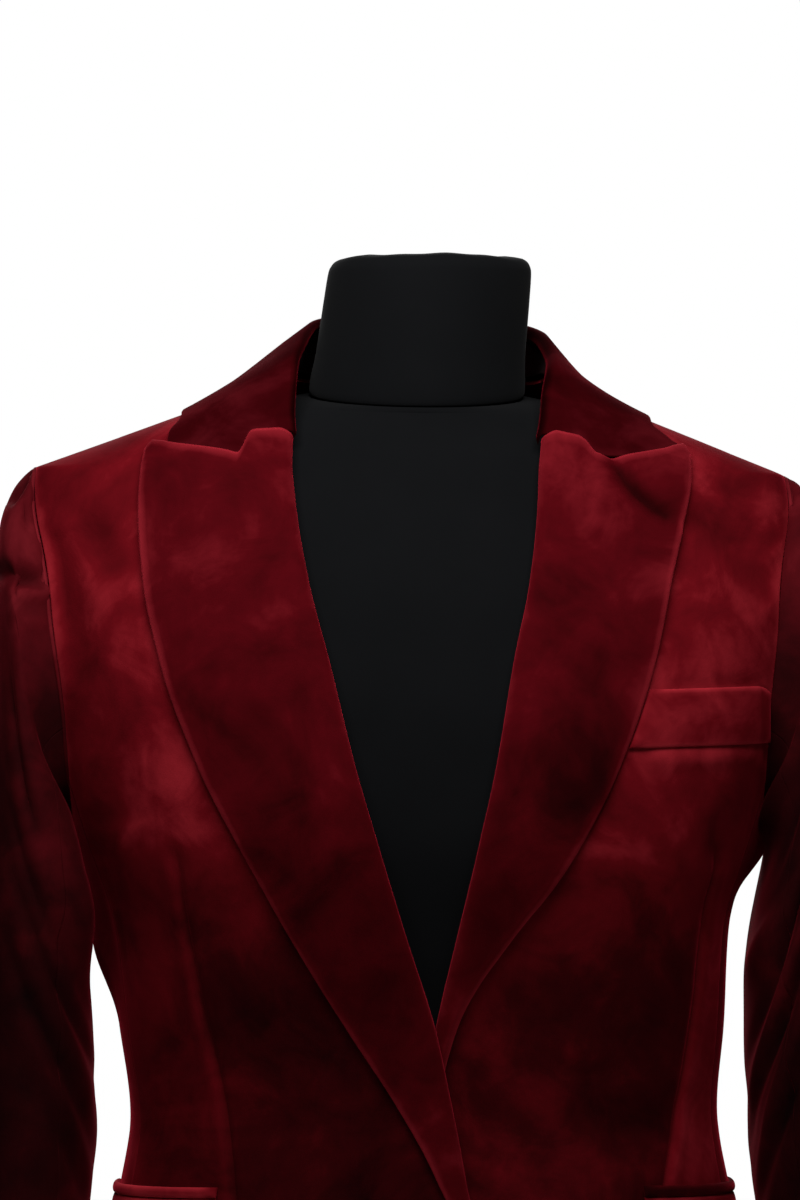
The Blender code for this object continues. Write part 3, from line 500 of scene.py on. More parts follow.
def trough(x, z, path, width, depth):
    """A soft trough along a path of (x, z) points, deepest at its middle and fading to its ends."""
    path = np.asarray(path, float)
    spans = np.linalg.norm(np.diff(path, axis=0), axis=1)
    total = spans.sum()
    best = np.full(np.shape(x), np.inf)
    place = np.zeros(np.shape(x))
    done = 0.0
    for (ax, az), (bx, bz), span in zip(path[:-1], path[1:], spans):
        t = np.clip(((x - ax) * (bx - ax) + (z - az) * (bz - az)) / span**2, 0.0, 1.0)
        gap = np.hypot(x - ax - t * (bx - ax), z - az - t * (bz - az))
        place = np.where(gap < best, (done + t * span) / total, place)
        best = np.minimum(gap, best)
        done += span
    return -depth * bell(best / width) * np.sqrt(np.clip(4 * place * (1 - place), 0.0, 1.0))


def creases(x, z, rows):
    """Troughs of a whole table, each with its path, width and depth."""
    return sum(trough(x, z, *row) for row in rows)


def calm(piece, points):
    """Fades a piece's relief out towards its border."""
    return ease(0.0, CALM_BORDERS[piece], edge_distance(points))


def waves(points, piece, side=0):
    """Low uneven swells of the cloth, from a few slanted waves."""
    seed, size, height = WAVES[piece]
    random = np.random.default_rng(seed + side)
    total = np.zeros(points.shape[:-1])
    for _ in range(WAVE_COUNT):
        direction = unit(random.normal(size=3))
        pitch = size * random.uniform(0.6, 1.6)
        total += np.sin(points @ direction * (2 * math.pi / pitch) + random.uniform(0, 2 * math.pi))
    return height * total / WAVE_COUNT


def mesh_object(name, points, faces):
    mesh = bpy.data.meshes.new(name)
    mesh.from_pydata(points.tolist(), [], faces.tolist() if isinstance(faces, np.ndarray) else faces)
    mesh.shade_smooth()
    made = bpy.data.objects.new(name, mesh)
    bpy.context.scene.collection.objects.link(made)
    return made


def sheet_object(name, middle, half, radius=EDGE_RADIUS, normals=None, outward=None, nap=0.0):
    """A closed cloth sheet with rounded edges: its middle surface moved out and in by half the wall.

    The last argument is the painted light and shade: how much lighter or darker the cloth is painted at each
    point, kept as a point attribute.
    """
    rows, cols = middle.shape[:2]
    normals = grid_normals(middle) if normals is None else normals
    if outward is not None and np.sum(normals * outward) < 0:
        normals = -normals
    rim = np.minimum(edge_distance(middle) / radius, 1.0)
    bulk = (half * np.sqrt(np.maximum(1.0 - (1.0 - rim) ** 2, 0.0)))[..., None]
    outer = settle(middle + normals * bulk)
    inner = settle(middle - normals * bulk)
    number = np.arange(rows * cols).reshape(rows, cols)
    under = number.copy()
    under[1:-1, 1:-1] = rows * cols + np.arange((rows - 2) * (cols - 2)).reshape(rows - 2, cols - 2)
    points = np.concatenate([outer.reshape(-1, 3), inner[1:-1, 1:-1].reshape(-1, 3)])

    def quads(grid):
        corners = (grid[:-1, :-1], grid[:-1, 1:], grid[1:, 1:], grid[1:, :-1])
        return np.stack([corner.reshape(-1) for corner in corners], axis=1)

    i, j = rows // 2, cols // 2
    facing = np.cross(outer[i, j + 1] - outer[i, j], outer[i + 1, j] - outer[i, j])
    top = quads(number)
    bottom = quads(under)
    if np.dot(facing, normals[i, j]) < 0:
        top = top[:, ::-1]
    else:
        bottom = bottom[:, ::-1]
    made = mesh_object(name, points, np.concatenate([top, bottom]))
    nap = np.broadcast_to(nap, (rows, cols))
    layer = made.data.attributes.new("nap", "FLOAT", "POINT")
    layer.data.foreach_set("value", np.concatenate([nap.reshape(-1), nap[1:-1, 1:-1].reshape(-1)]))
    return made


def inset(points, amount=SEAM_INSET):
    """Moves the border of a grid in, towards its middle, so that pieces part at their seams."""
    points = points.copy()
    ends = ((0, EDGE_STOPS), (-1, -1 - EDGE_STOPS))
    for edge, inner in ends:
        points[edge] += unit(points[inner] - points[edge]) * amount
    for edge, inner in ends:
        points[:, edge] += unit(points[:, inner] - points[:, edge]) * amount
    return points


# Creases of the fronts in (distance from centre, height): path, width, depth
FRONT_CREASES = {
    RIGHT: (
        (((0.186, 0.640), (0.178, 0.600), (0.172, 0.560)), 0.0100, 0.0036),
        (((0.178, 0.662), (0.164, 0.632), (0.150, 0.615)), 0.0110, 0.0026),
        (((0.176, 0.560), (0.160, 0.525), (0.152, 0.490)), 0.0120, 0.0020),
        (((0.168, 0.500), (0.150, 0.455), (0.146, 0.420)), 0.0090, 0.0018),
        (((0.140, 0.345), (0.112, 0.352), (0.080, 0.346)), 0.0100, 0.0010),
        (((0.150, 0.690), (0.158, 0.650), (0.160, 0.610)), 0.0120, 0.0012),
        (((0.060, 0.330), (0.030, 0.300), (0.010, 0.275)), 0.0100, 0.0012),
        (((0.120, 0.230), (0.118, 0.150), (0.126, 0.090)), 0.0200, 0.0030),
    ),
    LEFT: (
        (((0.140, 0.655), (0.165, 0.634), (0.184, 0.606)), 0.0110, 0.0042),
        (((0.152, 0.676), (0.172, 0.655), (0.186, 0.632)), 0.0090, 0.0028),
        (((0.112, 0.5265), (0.140, 0.5260), (0.176, 0.5285)), 0.0045, -0.0018),
        (((0.112, 0.5628), (0.140, 0.5634), (0.176, 0.5640)), 0.0016, 0.0014),
        (((0.176, 0.520), (0.160, 0.490), (0.150, 0.470)), 0.0100, 0.0020),
        (((0.158, 0.470), (0.140, 0.440), (0.136, 0.410)), 0.0080, 0.0012),
        (((0.150, 0.350), (0.115, 0.345), (0.070, 0.352)), 0.0110, 0.0010),
        (((0.060, 0.372), (0.085, 0.366), (0.100, 0.370)), 0.0050, 0.0010),
        (((0.130, 0.230), (0.122, 0.160), (0.128, 0.090)), 0.0220, 0.0030),
    ),
}


def dart_groove(side, x, z):
    """The dart's sewn line: a narrow groove with a soft ridge on its outer side."""
    line = DART[WORDS[side]](z)
    reach = 1.0 - ease(DART_TIP_Z - DART_FADE, DART_TIP_Z + DART_TIP_LENGTH, z)
    gap = x - line
    depth, width = DART_GROOVE
    height, spread = DART_RIDGE
    dent, dent_width, dent_length = DART_PUCKER
    pucker = -dent * bell(gap / dent_width) * bell((z - DART_TIP_Z) / dent_length)
    ridge = height * bell((gap - DART_RIDGE_GAP) / spread)
    return reach * (-depth * bell(gap / width) + ridge) + pucker


def front_rows(side, t):
    """Angle and height of the front's edge, dart line and side seam, for row numbers up the front."""
    roll_z = ROLL_Z(t)
    edge = (front_angle(lapel_roll(side, roll_z) + ROLL_SETBACK, roll_z), roll_z)
    dart_z = DART_Z(t)
    dart = (front_angle(DART[WORDS[side]](dart_z), dart_z), dart_z)
    turn, height = armhole(ARMHOLE_TURN(t))
    lower = t <= len(SEAM_ROWS) - 1
    seam = (np.where(lower, armhole(UNDERARM_ANGLE)[0], turn), np.where(lower, SEAM_Z(t), height))
    return edge, dart, seam


def between(start, end, share):
    """Angles and heights between two lines, one row for each of their points."""
    return tuple(a[:, None] + (b - a)[:, None] * share[None, :] for a, b in zip(start, end))


def front_grid(side):
    rows, inner, outer = GRIDS["front"]
    t = stops(*rows) * LAST_ROW
    edge, dart, seam = front_rows(side, t)
    first = stops(*inner)
    second = stops(*outer)
    angle_a, z_a = between(edge, dart, first)
    angle_b, z_b = between(dart, seam, second)
    angle = np.concatenate([angle_a, angle_b[:, 1:]], axis=1)
    z = np.concatenate([z_a, z_b[:, 1:]], axis=1)
    top = t > LAST_ROW - TINY
    angle[top, : len(first)] = 90.0
    z[top, : len(first)] = shoulder_height(
        np.linspace(NECK_HALF + ROLL_SETBACK, DART["left"](DART_Z(LAST_ROW)), len(first))
    )
    return angle, z


# Painted light and shade from relief: how much lighter the cloth is painted for each metre that it stands
# out, so ridges are painted lighter and creases darker
FRONT_RELIEF_SHADE = 30.0
LAPEL_RELIEF_SHADE = 28.0
SLEEVE_RELIEF_SHADE = 26.0
COLLAR_RELIEF_SHADE = 40.0

# Painted shade: how much darker the cloth is painted towards the hem, and down the sleeves between two
# heights
LOW_SHADE = 0.18
FRONT_LOW_SPAN = (0.36, 0.56)
BACK_LOW_SPAN = (0.34, 0.62)
SLEEVE_LOW_SHADE = {RIGHT: (0.23, 0.500, 0.640), LEFT: (0.25, 0.560, 0.670)}

# Painted light outside the darts and painted shade inside them: how much lighter and darker, and between
# which heights
DART_PAINTED_LIGHT = {LEFT: 0.30, RIGHT: 0.10}
DART_INSIDE_SHADE = {LEFT: 0.04, RIGHT: 0.10}
DART_LIGHT_START = (0.240, 0.300)
DART_LIGHT_END = (0.38, 0.47)
DART_LIGHT_BLEND = 0.006
# Painted shade on the cloth under the collar, along the neckline: how much darker, and the spans where it
# rises and fades across
NECKLINE_SHADE = -0.5
NECKLINE_RISE = (0.694, 0.706)
NECKLINE_REACH = (0.068, 0.078)
# Painted highlight along the armhole seam on the fronts and sleeve heads: how much lighter, its width, and
# the heights where it rises
ARMHOLE_HIGHLIGHT = 0.12
ARMHOLE_HIGHLIGHT_WIDTH = 0.0035
ARMHOLE_HIGHLIGHT_RISE = (0.500, 0.530)


def neckline_shade(points):
    """Painted shade on the cloth under the collar, along the neckline."""
    return NECKLINE_SHADE * ease(*NECKLINE_RISE, points[..., 2]) * (1.0 - ease(*NECKLINE_REACH, points[..., 0]))


def front_relief(side, x, z, points):
    """Creases, dart and low swells of a front."""
    return dart_groove(side, x, z) + waves(points, "front", side) + creases(x, z, FRONT_CREASES[side])


def make_front(side, word):
    angle, z = front_grid(side)
    flat = body(angle, z)
    relief = front_relief(side, flat[..., 0], z, flat) * calm("front", flat)
    # Painted light and shade: lighter on ridges and darker in creases, darker towards the hem and under the
    # collar, a painted highlight along the armhole, lighter outside the dart and darker inside it
    nap = FRONT_RELIEF_SHADE * relief - LOW_SHADE * (1.0 - ease(*FRONT_LOW_SPAN, z)) + neckline_shade(flat)
    across, width = lengths(flat, 1)
    nap = nap + ARMHOLE_HIGHLIGHT * bell((width - across) / ARMHOLE_HIGHLIGHT_WIDTH) * ease(*ARMHOLE_HIGHLIGHT_RISE, z)
    outside = ease(-DART_LIGHT_BLEND, DART_LIGHT_BLEND, flat[..., 0] - DART[WORDS[side]](z))
    dart_span = ease(*DART_LIGHT_START, z) * (1.0 - ease(*DART_LIGHT_END, z))
    nap = nap + (DART_PAINTED_LIGHT[side] * outside - DART_INSIDE_SHADE[side]) * dart_span
    middle = inset(on_body(side, angle, z, relief - HALF_WALL))
    outward = on_body(side, angle, z, 1.0) - middle
    return sheet_object("front_" + word, middle, HALF_WALL, outward=outward, nap=nap)


# Creases of the lapels: path in (distance from centre, height), width, depth; ridges have a negative depth
LAPEL_CREASES = {
    RIGHT: (
        (((0.070, 0.680), (0.086, 0.664), (0.100, 0.640)), 0.0090, 0.0012),
        (((0.130, 0.660), (0.118, 0.625), (0.112, 0.590)), 0.0110, 0.0012),
        (((0.070, 0.620), (0.088, 0.600), (0.110, 0.585)), 0.0080, 0.0010),
        (((0.060, 0.560), (0.082, 0.540), (0.098, 0.515)), 0.0090, 0.0009),
        (((0.045, 0.500), (0.062, 0.480), (0.074, 0.455)), 0.0080, 0.0008),
        (((0.020, 0.420), (0.035, 0.405), (0.044, 0.390)), 0.0070, 0.0007),
    ),
    LEFT: (
        (((0.0955, 0.690), (0.100, 0.678), (0.108, 0.664), (0.120, 0.652), (0.136, 0.644)), 0.0046, 0.0046),
        (((0.088, 0.680), (0.094, 0.660), (0.110, 0.640)), 0.0060, -0.0010),
        (((0.106, 0.676), (0.116, 0.664), (0.130, 0.656)), 0.0050, -0.0010),
        (((0.074, 0.650), (0.086, 0.628), (0.100, 0.610)), 0.0090, 0.0011),
        (((0.062, 0.590), (0.080, 0.570), (0.098, 0.560)), 0.0090, 0.0010),
        (((0.050, 0.530), (0.064, 0.512), (0.082, 0.500)), 0.0080, 0.0009),
        (((0.036, 0.470), (0.046, 0.452), (0.056, 0.440)), 0.0070, 0.0007),
    ),
}


# The painted highlight along the lapels' rims, the bead along them, and the painted shade on their lower half
LAPEL_RIM_HIGHLIGHT = 0.40
LAPEL_RIM_WIDTH = 0.0030
LAPEL_BEAD = 0.0003
LAPEL_BEAD_PLACE = 0.0040
LAPEL_BEAD_WIDTH = 0.0025
LAPEL_LOW_SHADE = 0.09
LAPEL_LOW_SPAN = (0.48, 0.66)
LAPEL_RELIEF_SPAN = (0.04, 0.25)

# Painted shade on the lapels along soft creases: path, width, how much darker
LAPEL_PAINTED_SHADES = {
    RIGHT: (
        (((0.076, 0.668), (0.100, 0.655), (0.128, 0.660)), 0.0200, 0.06),
        (((0.060, 0.530), (0.080, 0.500), (0.090, 0.470)), 0.0200, 0.06),
    ),
    LEFT: (
        (((0.0955, 0.686), (0.104, 0.672), (0.116, 0.658), (0.130, 0.648)), 0.0060, 0.15),
        (((0.056, 0.540), (0.070, 0.510), (0.082, 0.480)), 0.0240, 0.13),
    ),
}


def lapel_edge(side, z):
    return LAPEL["edge_" + WORDS[side]](z)


def lapel_roll(side, z):
    return LAPEL["roll_" + WORDS[side]](z)


def lapel_grid(side):
    """Distances from the centre, heights and lifts of a lapel, from under its roll to its outer edge."""
    rows, columns = GRIDS["lapel"]
    t = LAPEL_FIRST_ROW + stops(*rows, LAPEL_EDGE_RADIUS) * (LAPEL_LAST_ROW - LAPEL_FIRST_ROW)
    roll_z = ROLL_Z(t)
    edge_z = DART_Z(t)
    roll = lapel_roll(side, roll_z)
    edge = lapel_edge(side, edge_z)
    share = stops(*columns, LAPEL_EDGE_RADIUS)[EDGE_STOPS:]
    nose = np.radians(np.linspace(-NOSE_UNDER, 90.0, NOSE_STEPS))
    reach = np.maximum(edge - roll, 2.0 * ROLL_LENGTH)[:, None]
    turned = ROLL_LENGTH * (1.0 - np.cos(nose))[None, :] * np.ones_like(reach)
    flat = ROLL_LENGTH + (reach - ROLL_LENGTH) * share[None, :]
    distance = np.concatenate([turned[:, :-1], flat], axis=1)
    settled = ROLL_HEIGHT + (LAPEL_LIE - ROLL_HEIGHT) * ease(ROLL_LENGTH, reach, distance)
    rise = np.concatenate([np.sin(nose)[:-1], np.ones(len(share))])[None, :]
    lift = (settled - HALF_LAPEL) * rise
    along = distance / reach
    x = roll[:, None] + along * (edge - roll)[:, None]
    gorge = ease(LAPEL_LAST_ROW - GORGE_ROWS, LAPEL_LAST_ROW, t)[:, None]
    z = roll_z[:, None] + (edge_z - roll_z)[:, None] * along + gorge * GORGE[WORDS[side]](along)
    return x, z, lift, along


def make_lapel(side, word):
    x, z, lift, along = lapel_grid(side)
    angle = front_angle(x, z)
    flat = body(angle, z)
    relief = waves(flat, "lapel", side) + creases(x, z, LAPEL_CREASES[side])
    middle = on_body(side, angle, z, lift + relief * ease(*LAPEL_RELIEF_SPAN, along))
    border = edge_distance(middle)
    half = HALF_LAPEL + LAPEL_BEAD * bell((border - LAPEL_BEAD_PLACE) / LAPEL_BEAD_WIDTH)
    outward = on_body(side, angle, z, 1.0) - on_body(side, angle, z, 0.0)
    # Painted light and shade: a painted highlight along the rims, lighter ridges and darker creases, a darker
    # lower half and painted shade along soft creases
    nap = LAPEL_RIM_HIGHLIGHT * bell(border / LAPEL_RIM_WIDTH) + LAPEL_RELIEF_SHADE * relief
    nap = nap - LAPEL_LOW_SHADE * (1.0 - ease(*LAPEL_LOW_SPAN, z)) + creases(x, z, LAPEL_PAINTED_SHADES[side])
    return sheet_object("lapel_" + word, middle, half, LAPEL_EDGE_RADIUS, outward=outward, nap=nap)


# Fullness of the side panels under the arms: height of the swell, where it starts, is highest and ends
SIDE_SWELL = {RIGHT: (0.0092, 0.385, 0.428, 0.490), LEFT: (0.0095, 0.448, 0.480, 0.512)}
SIDE_SWELL_SPAN = (0.05, 0.60)
# Painted shade on the side panels under the arms, where the sleeves shade them: how much darker, the share of
# it kept low down, and the heights over which it grows to full
SIDE_SHADE = -0.22
SIDE_SHADE_LEAST = 0.4
SIDE_SHADE_SPAN = (0.34, 0.44)


def make_side_panel(side, word):
    rows, columns = GRIDS["side_panel"]
    t = stops(*rows) * (len(SEAM_ROWS) - 1)
    across = stops(*columns)
    turn, top = armhole(UNDERARM_ANGLE + (360.0 - 2 * UNDERARM_ANGLE) * across)
    share = ((SEAM_Z(t) - HEM_Z) / (UNDERARM_SEAM_Z - HEM_Z))[:, None]
    angle = turn[None, :] + np.zeros_like(share)
    z = HEM_Z + (top[None, :] - HEM_Z) * share
    flat = body(angle, z)
    height, low, middle_z, high = SIDE_SWELL[side]
    rise = ease(low, middle_z, z) * (1.0 - ease(middle_z, high, z)) * ease(*SIDE_SWELL_SPAN, across)
    relief = (waves(flat, "side_panel", side) + height * rise) * calm("side_panel", flat)
    middle = inset(on_body(side, angle, z, relief - HALF_WALL))
    outward = on_body(side, angle, z, 1.0) - middle
    nap = SIDE_SHADE * (SIDE_SHADE_LEAST + (1.0 - SIDE_SHADE_LEAST) * ease(*SIDE_SHADE_SPAN, z))
    return sheet_object("side_panel_" + word, middle, HALF_WALL, outward=outward, nap=nap)


# Creases of the backs in (distance from centre, height): path, width, depth
BACK_CREASES = (
    (((0.030, 0.360), (0.070, 0.352), (0.115, 0.362)), 0.0120, 0.0018),
    (((0.024, 0.395), (0.064, 0.384), (0.100, 0.390)), 0.0110, 0.0014),
    (((0.170, 0.610), (0.150, 0.560), (0.140, 0.500)), 0.0140, 0.0022),
    (((0.110, 0.230), (0.100, 0.160), (0.104, 0.085)), 0.0240, 0.0035),
    (((0.040, 0.700), (0.085, 0.684), (0.130, 0.676)), 0.0120, 0.0012),
)


def make_back(side, word):
    """Half of the back, from the centre seam to the side seam, armhole and shoulder."""
    rows, inner, outer = GRIDS["back"]
    t = stops(*rows) * LAST_ROW
    lower = len(SEAM_ROWS) - 1
    share = np.clip((t - lower) / (LAST_ROW - lower), 0.0, 1.0)
    below = t <= lower
    upper = UNDERARM_SEAM_Z + (CENTRE_BACK_NECK_Z - UNDERARM_SEAM_Z) * share
    centre = (np.full_like(t, 180.0), np.where(below, SEAM_Z(t), upper))
    slant = (SEAM_Z(t) - HEM_Z) / (UNDERARM_SEAM_Z - HEM_Z)
    column_angle = np.where(
        below,
        BACK_COLUMN_HEM + (BACK_COLUMN_UNDERARM - BACK_COLUMN_HEM) * slant,
        BACK_COLUMN_UNDERARM + (90.0 - BACK_COLUMN_UNDERARM) * share**3,
    )
    upper = UNDERARM_SEAM_Z + (NECK_Z - UNDERARM_SEAM_Z) * share
    middle_line = (column_angle, np.where(below, SEAM_Z(t), upper))
    turn, height = armhole(360.0 - ARMHOLE_TURN(t))
    seam = (
        np.where(below, armhole(360.0 - UNDERARM_ANGLE)[0], turn),
        np.where(below, SEAM_Z(t), height),
    )
    angle_a, z_a = between(centre, middle_line, stops(*inner))
    angle_b, z_b = between(middle_line, seam, stops(*outer))
    angle = np.concatenate([angle_a[:, : -EDGE_STOPS - 1], angle_b[:, EDGE_STOPS:]], axis=1)
    z = np.concatenate([z_a[:, : -EDGE_STOPS - 1], z_b[:, EDGE_STOPS:]], axis=1)
    flat = body(angle, z)
    relief = (waves(flat, "back", side) + creases(flat[..., 0], z, BACK_CREASES)) * calm("back", flat)
    middle = inset(on_body(RIGHT, angle, z, relief - HALF_WALL) * np.array([-side, 1.0, 1.0]))
    outward = on_body(RIGHT, angle, z, 1.0) * np.array([-side, 1.0, 1.0]) - middle
    # Painted light and shade: lighter on ridges, darker in creases, towards the hem and under the collar
    nap = FRONT_RELIEF_SHADE * relief - LOW_SHADE * (1.0 - ease(*BACK_LOW_SPAN, z)) + neckline_shade(flat)
    return sheet_object("back_" + word, middle, HALF_WALL, outward=outward, nap=nap)


def collar_line(side, share, across):
    """Points of the collar's turned-down face, for one share of the way to the centre back."""
    at = {name: float(value(share)) for name, value in COLLAR.items()}
    drop = at["left_drop"] if side == LEFT else 0.0
    fold = np.array([at["fold_x"] + drop * FOLD_SPREAD, at["fold_y"], at["fold_z"] - drop])
    neck = body(at["neck_angle"], at["neck_z"])
    fade = 1.0 - ease(0.0, GORGE_FADE, share)
    edge_angle = at["edge_angle"] + COLLAR_TIP_TURN[side] * fade
    angle = at["neck_angle"] + (edge_angle - at["neck_angle"]) * across
    straight = at["neck_z"] + (at["edge_z"] - at["neck_z"]) * across
    roll = lapel_roll(side, straight)
    height = (fold - neck) * ((1.0 - across) ** FOLD_FALLOFF[side])[:, None]
    distance = (body(angle, straight) + height)[:, 0]
    along = np.clip((distance - roll) / (lapel_edge(side, straight) - roll), 0.0, 1.0)
    z = np.minimum(straight + fade * (GORGE[WORDS[side]](along) - GORGE_TUCK), NECK_Z)
    angle = angle + fade * (front_angle(body(angle, straight)[:, 0], z) - angle)
    normal = body_normal(angle, z)
    upright = ((1.0 - across) * ease(0.0, FOLD_UPRIGHT_SHARE, share))[:, None]
    lie = COLLAR_FRONT_LIE + (COLLAR_LIE - COLLAR_FRONT_LIE) * ease(*COLLAR_LIE_SPAN, share)
    lie = (lie + (COLLAR_EDGE_LIE - lie) * across - HALF_COLLAR)[:, None]
    lifted = unit(np.array([0.0, 0.0, 1.0]) * upright + normal * (1.0 - upright)) * lie
    swell = FOLD_BULGE * ease(FOLD_BULGE_START, FOLD_BULGE_FULL, share)
    bulge = normal * (swell * np.sqrt(4.0 * across * (1.0 - across)))[:, None]
    face = body(angle, z) + height + lifted + bulge
    outward = unit((body(at["edge_angle"], at["edge_z"]) - neck) * np.array([1.0, 1.0, 0.0]))
    turn = np.radians(FOLD_TURNS)[:, None]
    up = np.array([0.0, 0.0, FOLD_NOSE[side]])
    nose = face[0] - up + up * np.sin(turn) - outward * FOLD_NOSE[side] * np.cos(turn)
    mirror = np.array([side, 1.0, 1.0])
    return np.concatenate([nose, face]) * mirror, (fold, neck, mirror)


def collar_shares(start):
    """Shares of the way from the gorge to the centre back, all round from the right to the left."""
    half = start + (1.0 - start) * stops(*GRIDS["collar"][0])
    half = half[half < 1.0 - CENTRE_BACK_SHARE]
    return [(RIGHT, share) for share in half] + [(RIGHT, 1.0)] + [(LEFT, share) for share in half[::-1]]


def make_collar():
    across = stops(*GRIDS["collar"][1], LAPEL_EDGE_RADIUS)
    across = np.concatenate([across[:1], across[EDGE_STOPS:]])
    stand_stops = stops(*GRIDS["collar"][2])[:, None]
    fall = np.array([collar_line(side, share, across)[0] for side, share in collar_shares(0.0)])
    swell = waves(fall, "collar") * calm("collar", fall)
    normals = grid_normals(fall)
    middle = len(fall) // 2
    if normals[middle, 8, 1] < 0:
        normals = -normals
    fall = fall + normals * swell[..., None]
    stand = []
    for side, share in collar_shares(STAND_START):
        fold, neck, mirror = collar_line(side, share, across)[1]
        rise = unit(fold - neck)
        low = neck + rise * STAND_GAP
        high = fold - rise * STAND_TOP_GAP
        stand.append((low + (high - low) * stand_stops) * mirror)
    stand = np.array(stand)
    inward = stand * np.array([-1.0, -1.0, 0.0])
    away = -inward
    # Painted light and shade: a painted highlight along the rims, lighter swells and darker hollows, and
    # painted shade on the turned fold
    nap = COLLAR_RIM_HIGHLIGHT * bell(edge_distance(fall) / COLLAR_RIM_WIDTH) + COLLAR_RELIEF_SHADE * swell
    nap[:, : len(FOLD_SHADE)] = FOLD_SHADE
    made_fall = sheet_object("collar_fall", fall, HALF_COLLAR, COLLAR_EDGE_RADIUS, normals=normals, nap=nap)
    stand = stand - unit(away) * HALF_WALL
    made_stand = sheet_object("collar_stand", stand, HALF_WALL, outward=away)
    return made_fall, made_stand


# Sleeve creases: share of the way down, angle round, half spans of both, depth, slant along the angle
CREASE_COLUMNS = ("along", "angle", "half_along", "half_angle", "depth", "slant")
SLEEVE_CREASES = {
    RIGHT: (
        (0.200, 138.0, 0.050, 30.0, -0.0070, 0.000),
        (0.275, 138.0, 0.060, 30.0, -0.0085, 0.000),
        (0.375, 140.0, 0.075, 32.0, -0.0120, 0.000),
        (0.300, 85.0, 0.030, 30.0, 0.0030, 0.050),
        (0.430, 110.0, 0.022, 42.0, 0.0036, 0.060),
        (0.490, 120.0, 0.020, 46.0, 0.0040, 0.070),
        (0.560, 115.0, 0.022, 50.0, 0.0038, 0.080),
        (0.640, 125.0, 0.024, 44.0, 0.0030, 0.060),
        (0.500, 235.0, 0.030, 46.0, 0.0034, -0.070),
        (0.600, 245.0, 0.028, 44.0, 0.0030, -0.060),
        (0.780, 70.0, 0.035, 50.0, 0.0022, 0.050),
        (0.860, 280.0, 0.035, 50.0, 0.0022, -0.050),
        (0.100, 300.0, 0.060, 6.0, 0.0018, 0.000),
        (0.090, 330.0, 0.060, 5.0, 0.0016, 0.000),
    ),
    LEFT: (
        (0.178, 140.0, 0.055, 32.0, -0.0115, 0.000),
        (0.425, 145.0, 0.030, 30.0, -0.0050, 0.020),
        (0.170, 66.0, 0.024, 34.0, 0.0022, 0.020),
        (0.260, 92.0, 0.030, 40.0, 0.0026, 0.050),
        (0.440, 118.0, 0.018, 40.0, 0.0040, 0.090),
        (0.485, 120.0, 0.014, 40.0, -0.0030, 0.090),
        (0.520, 122.0, 0.018, 44.0, 0.0044, 0.090),
        (0.565, 120.0, 0.014, 40.0, -0.0028, 0.090),
        (0.600, 118.0, 0.018, 44.0, 0.0038, 0.080),
        (0.690, 125.0, 0.022, 44.0, 0.0026, 0.060),
        (0.520, 240.0, 0.030, 46.0, 0.0034, -0.070),
        (0.630, 250.0, 0.028, 44.0, 0.0030, -0.060),
        (0.790, 60.0, 0.035, 50.0, 0.0024, 0.050),
        (0.870, 285.0, 0.035, 50.0, 0.0022, -0.050),
        (0.095, 305.0, 0.060, 6.0, 0.0018, 0.000),
        (0.085, 332.0, 0.060, 5.0, 0.0016, 0.000),
    ),
}


# Puckers on the front of the sleeve heads in (distance from centre, height): path, width, depth
HEAD_PUCKERS = {
    RIGHT: (
        (((0.1965, 0.6750), (0.2030, 0.6622), (0.2092, 0.6528)), 0.0026, 0.0048),
        (((0.2010, 0.6740), (0.2075, 0.6640), (0.2125, 0.6560)), 0.0030, -0.0014),
        (((0.1946, 0.6560), (0.1928, 0.6450), (0.1905, 0.6340)), 0.0016, 0.0018),
        (((0.2003, 0.6560), (0.1995, 0.6480), (0.1980, 0.6390)), 0.0016, 0.0014),
        (((0.2140, 0.6210), (0.2020, 0.6160), (0.1880, 0.6125)), 0.0055, 0.0068),
        (((0.2030, 0.6080), (0.1950, 0.6078), (0.1850, 0.6090)), 0.0034, -0.0030),
        (((0.2010, 0.5936), (0.1950, 0.5926), (0.1870, 0.5940)), 0.0036, -0.0012),
    ),
    LEFT: (
        (((0.1935, 0.6735), (0.1968, 0.6650), (0.1950, 0.6570)), 0.0022, 0.0034),
        (((0.1985, 0.6720), (0.2010, 0.6640), (0.1995, 0.6560)), 0.0026, -0.0012),
    ),
}


HEAD_FRONT_SPAN = (-0.002, 0.010)


def head_relief(side, points):
    """Puckers of a sleeve head, on its front only."""
    relief = creases(points[..., 0], points[..., 2], HEAD_PUCKERS[side])
    return relief * ease(*HEAD_FRONT_SPAN, -points[..., 1])


def sleeve_relief(side, along, angle):
    """Folds and sleeve-head gathers."""
    relief = np.zeros(np.broadcast(along, angle).shape)
    for row in SLEEVE_CREASES[side]:
        crease = dict(zip(CREASE_COLUMNS, row))
        turn = ((angle - crease["angle"] + 180.0) % 360.0 - 180.0) / crease["half_angle"]
        step = (along - crease["along"] - crease["slant"] * turn) / crease["half_along"]
        relief = relief - crease["depth"] * bell(turn) * bell(step)
    return relief


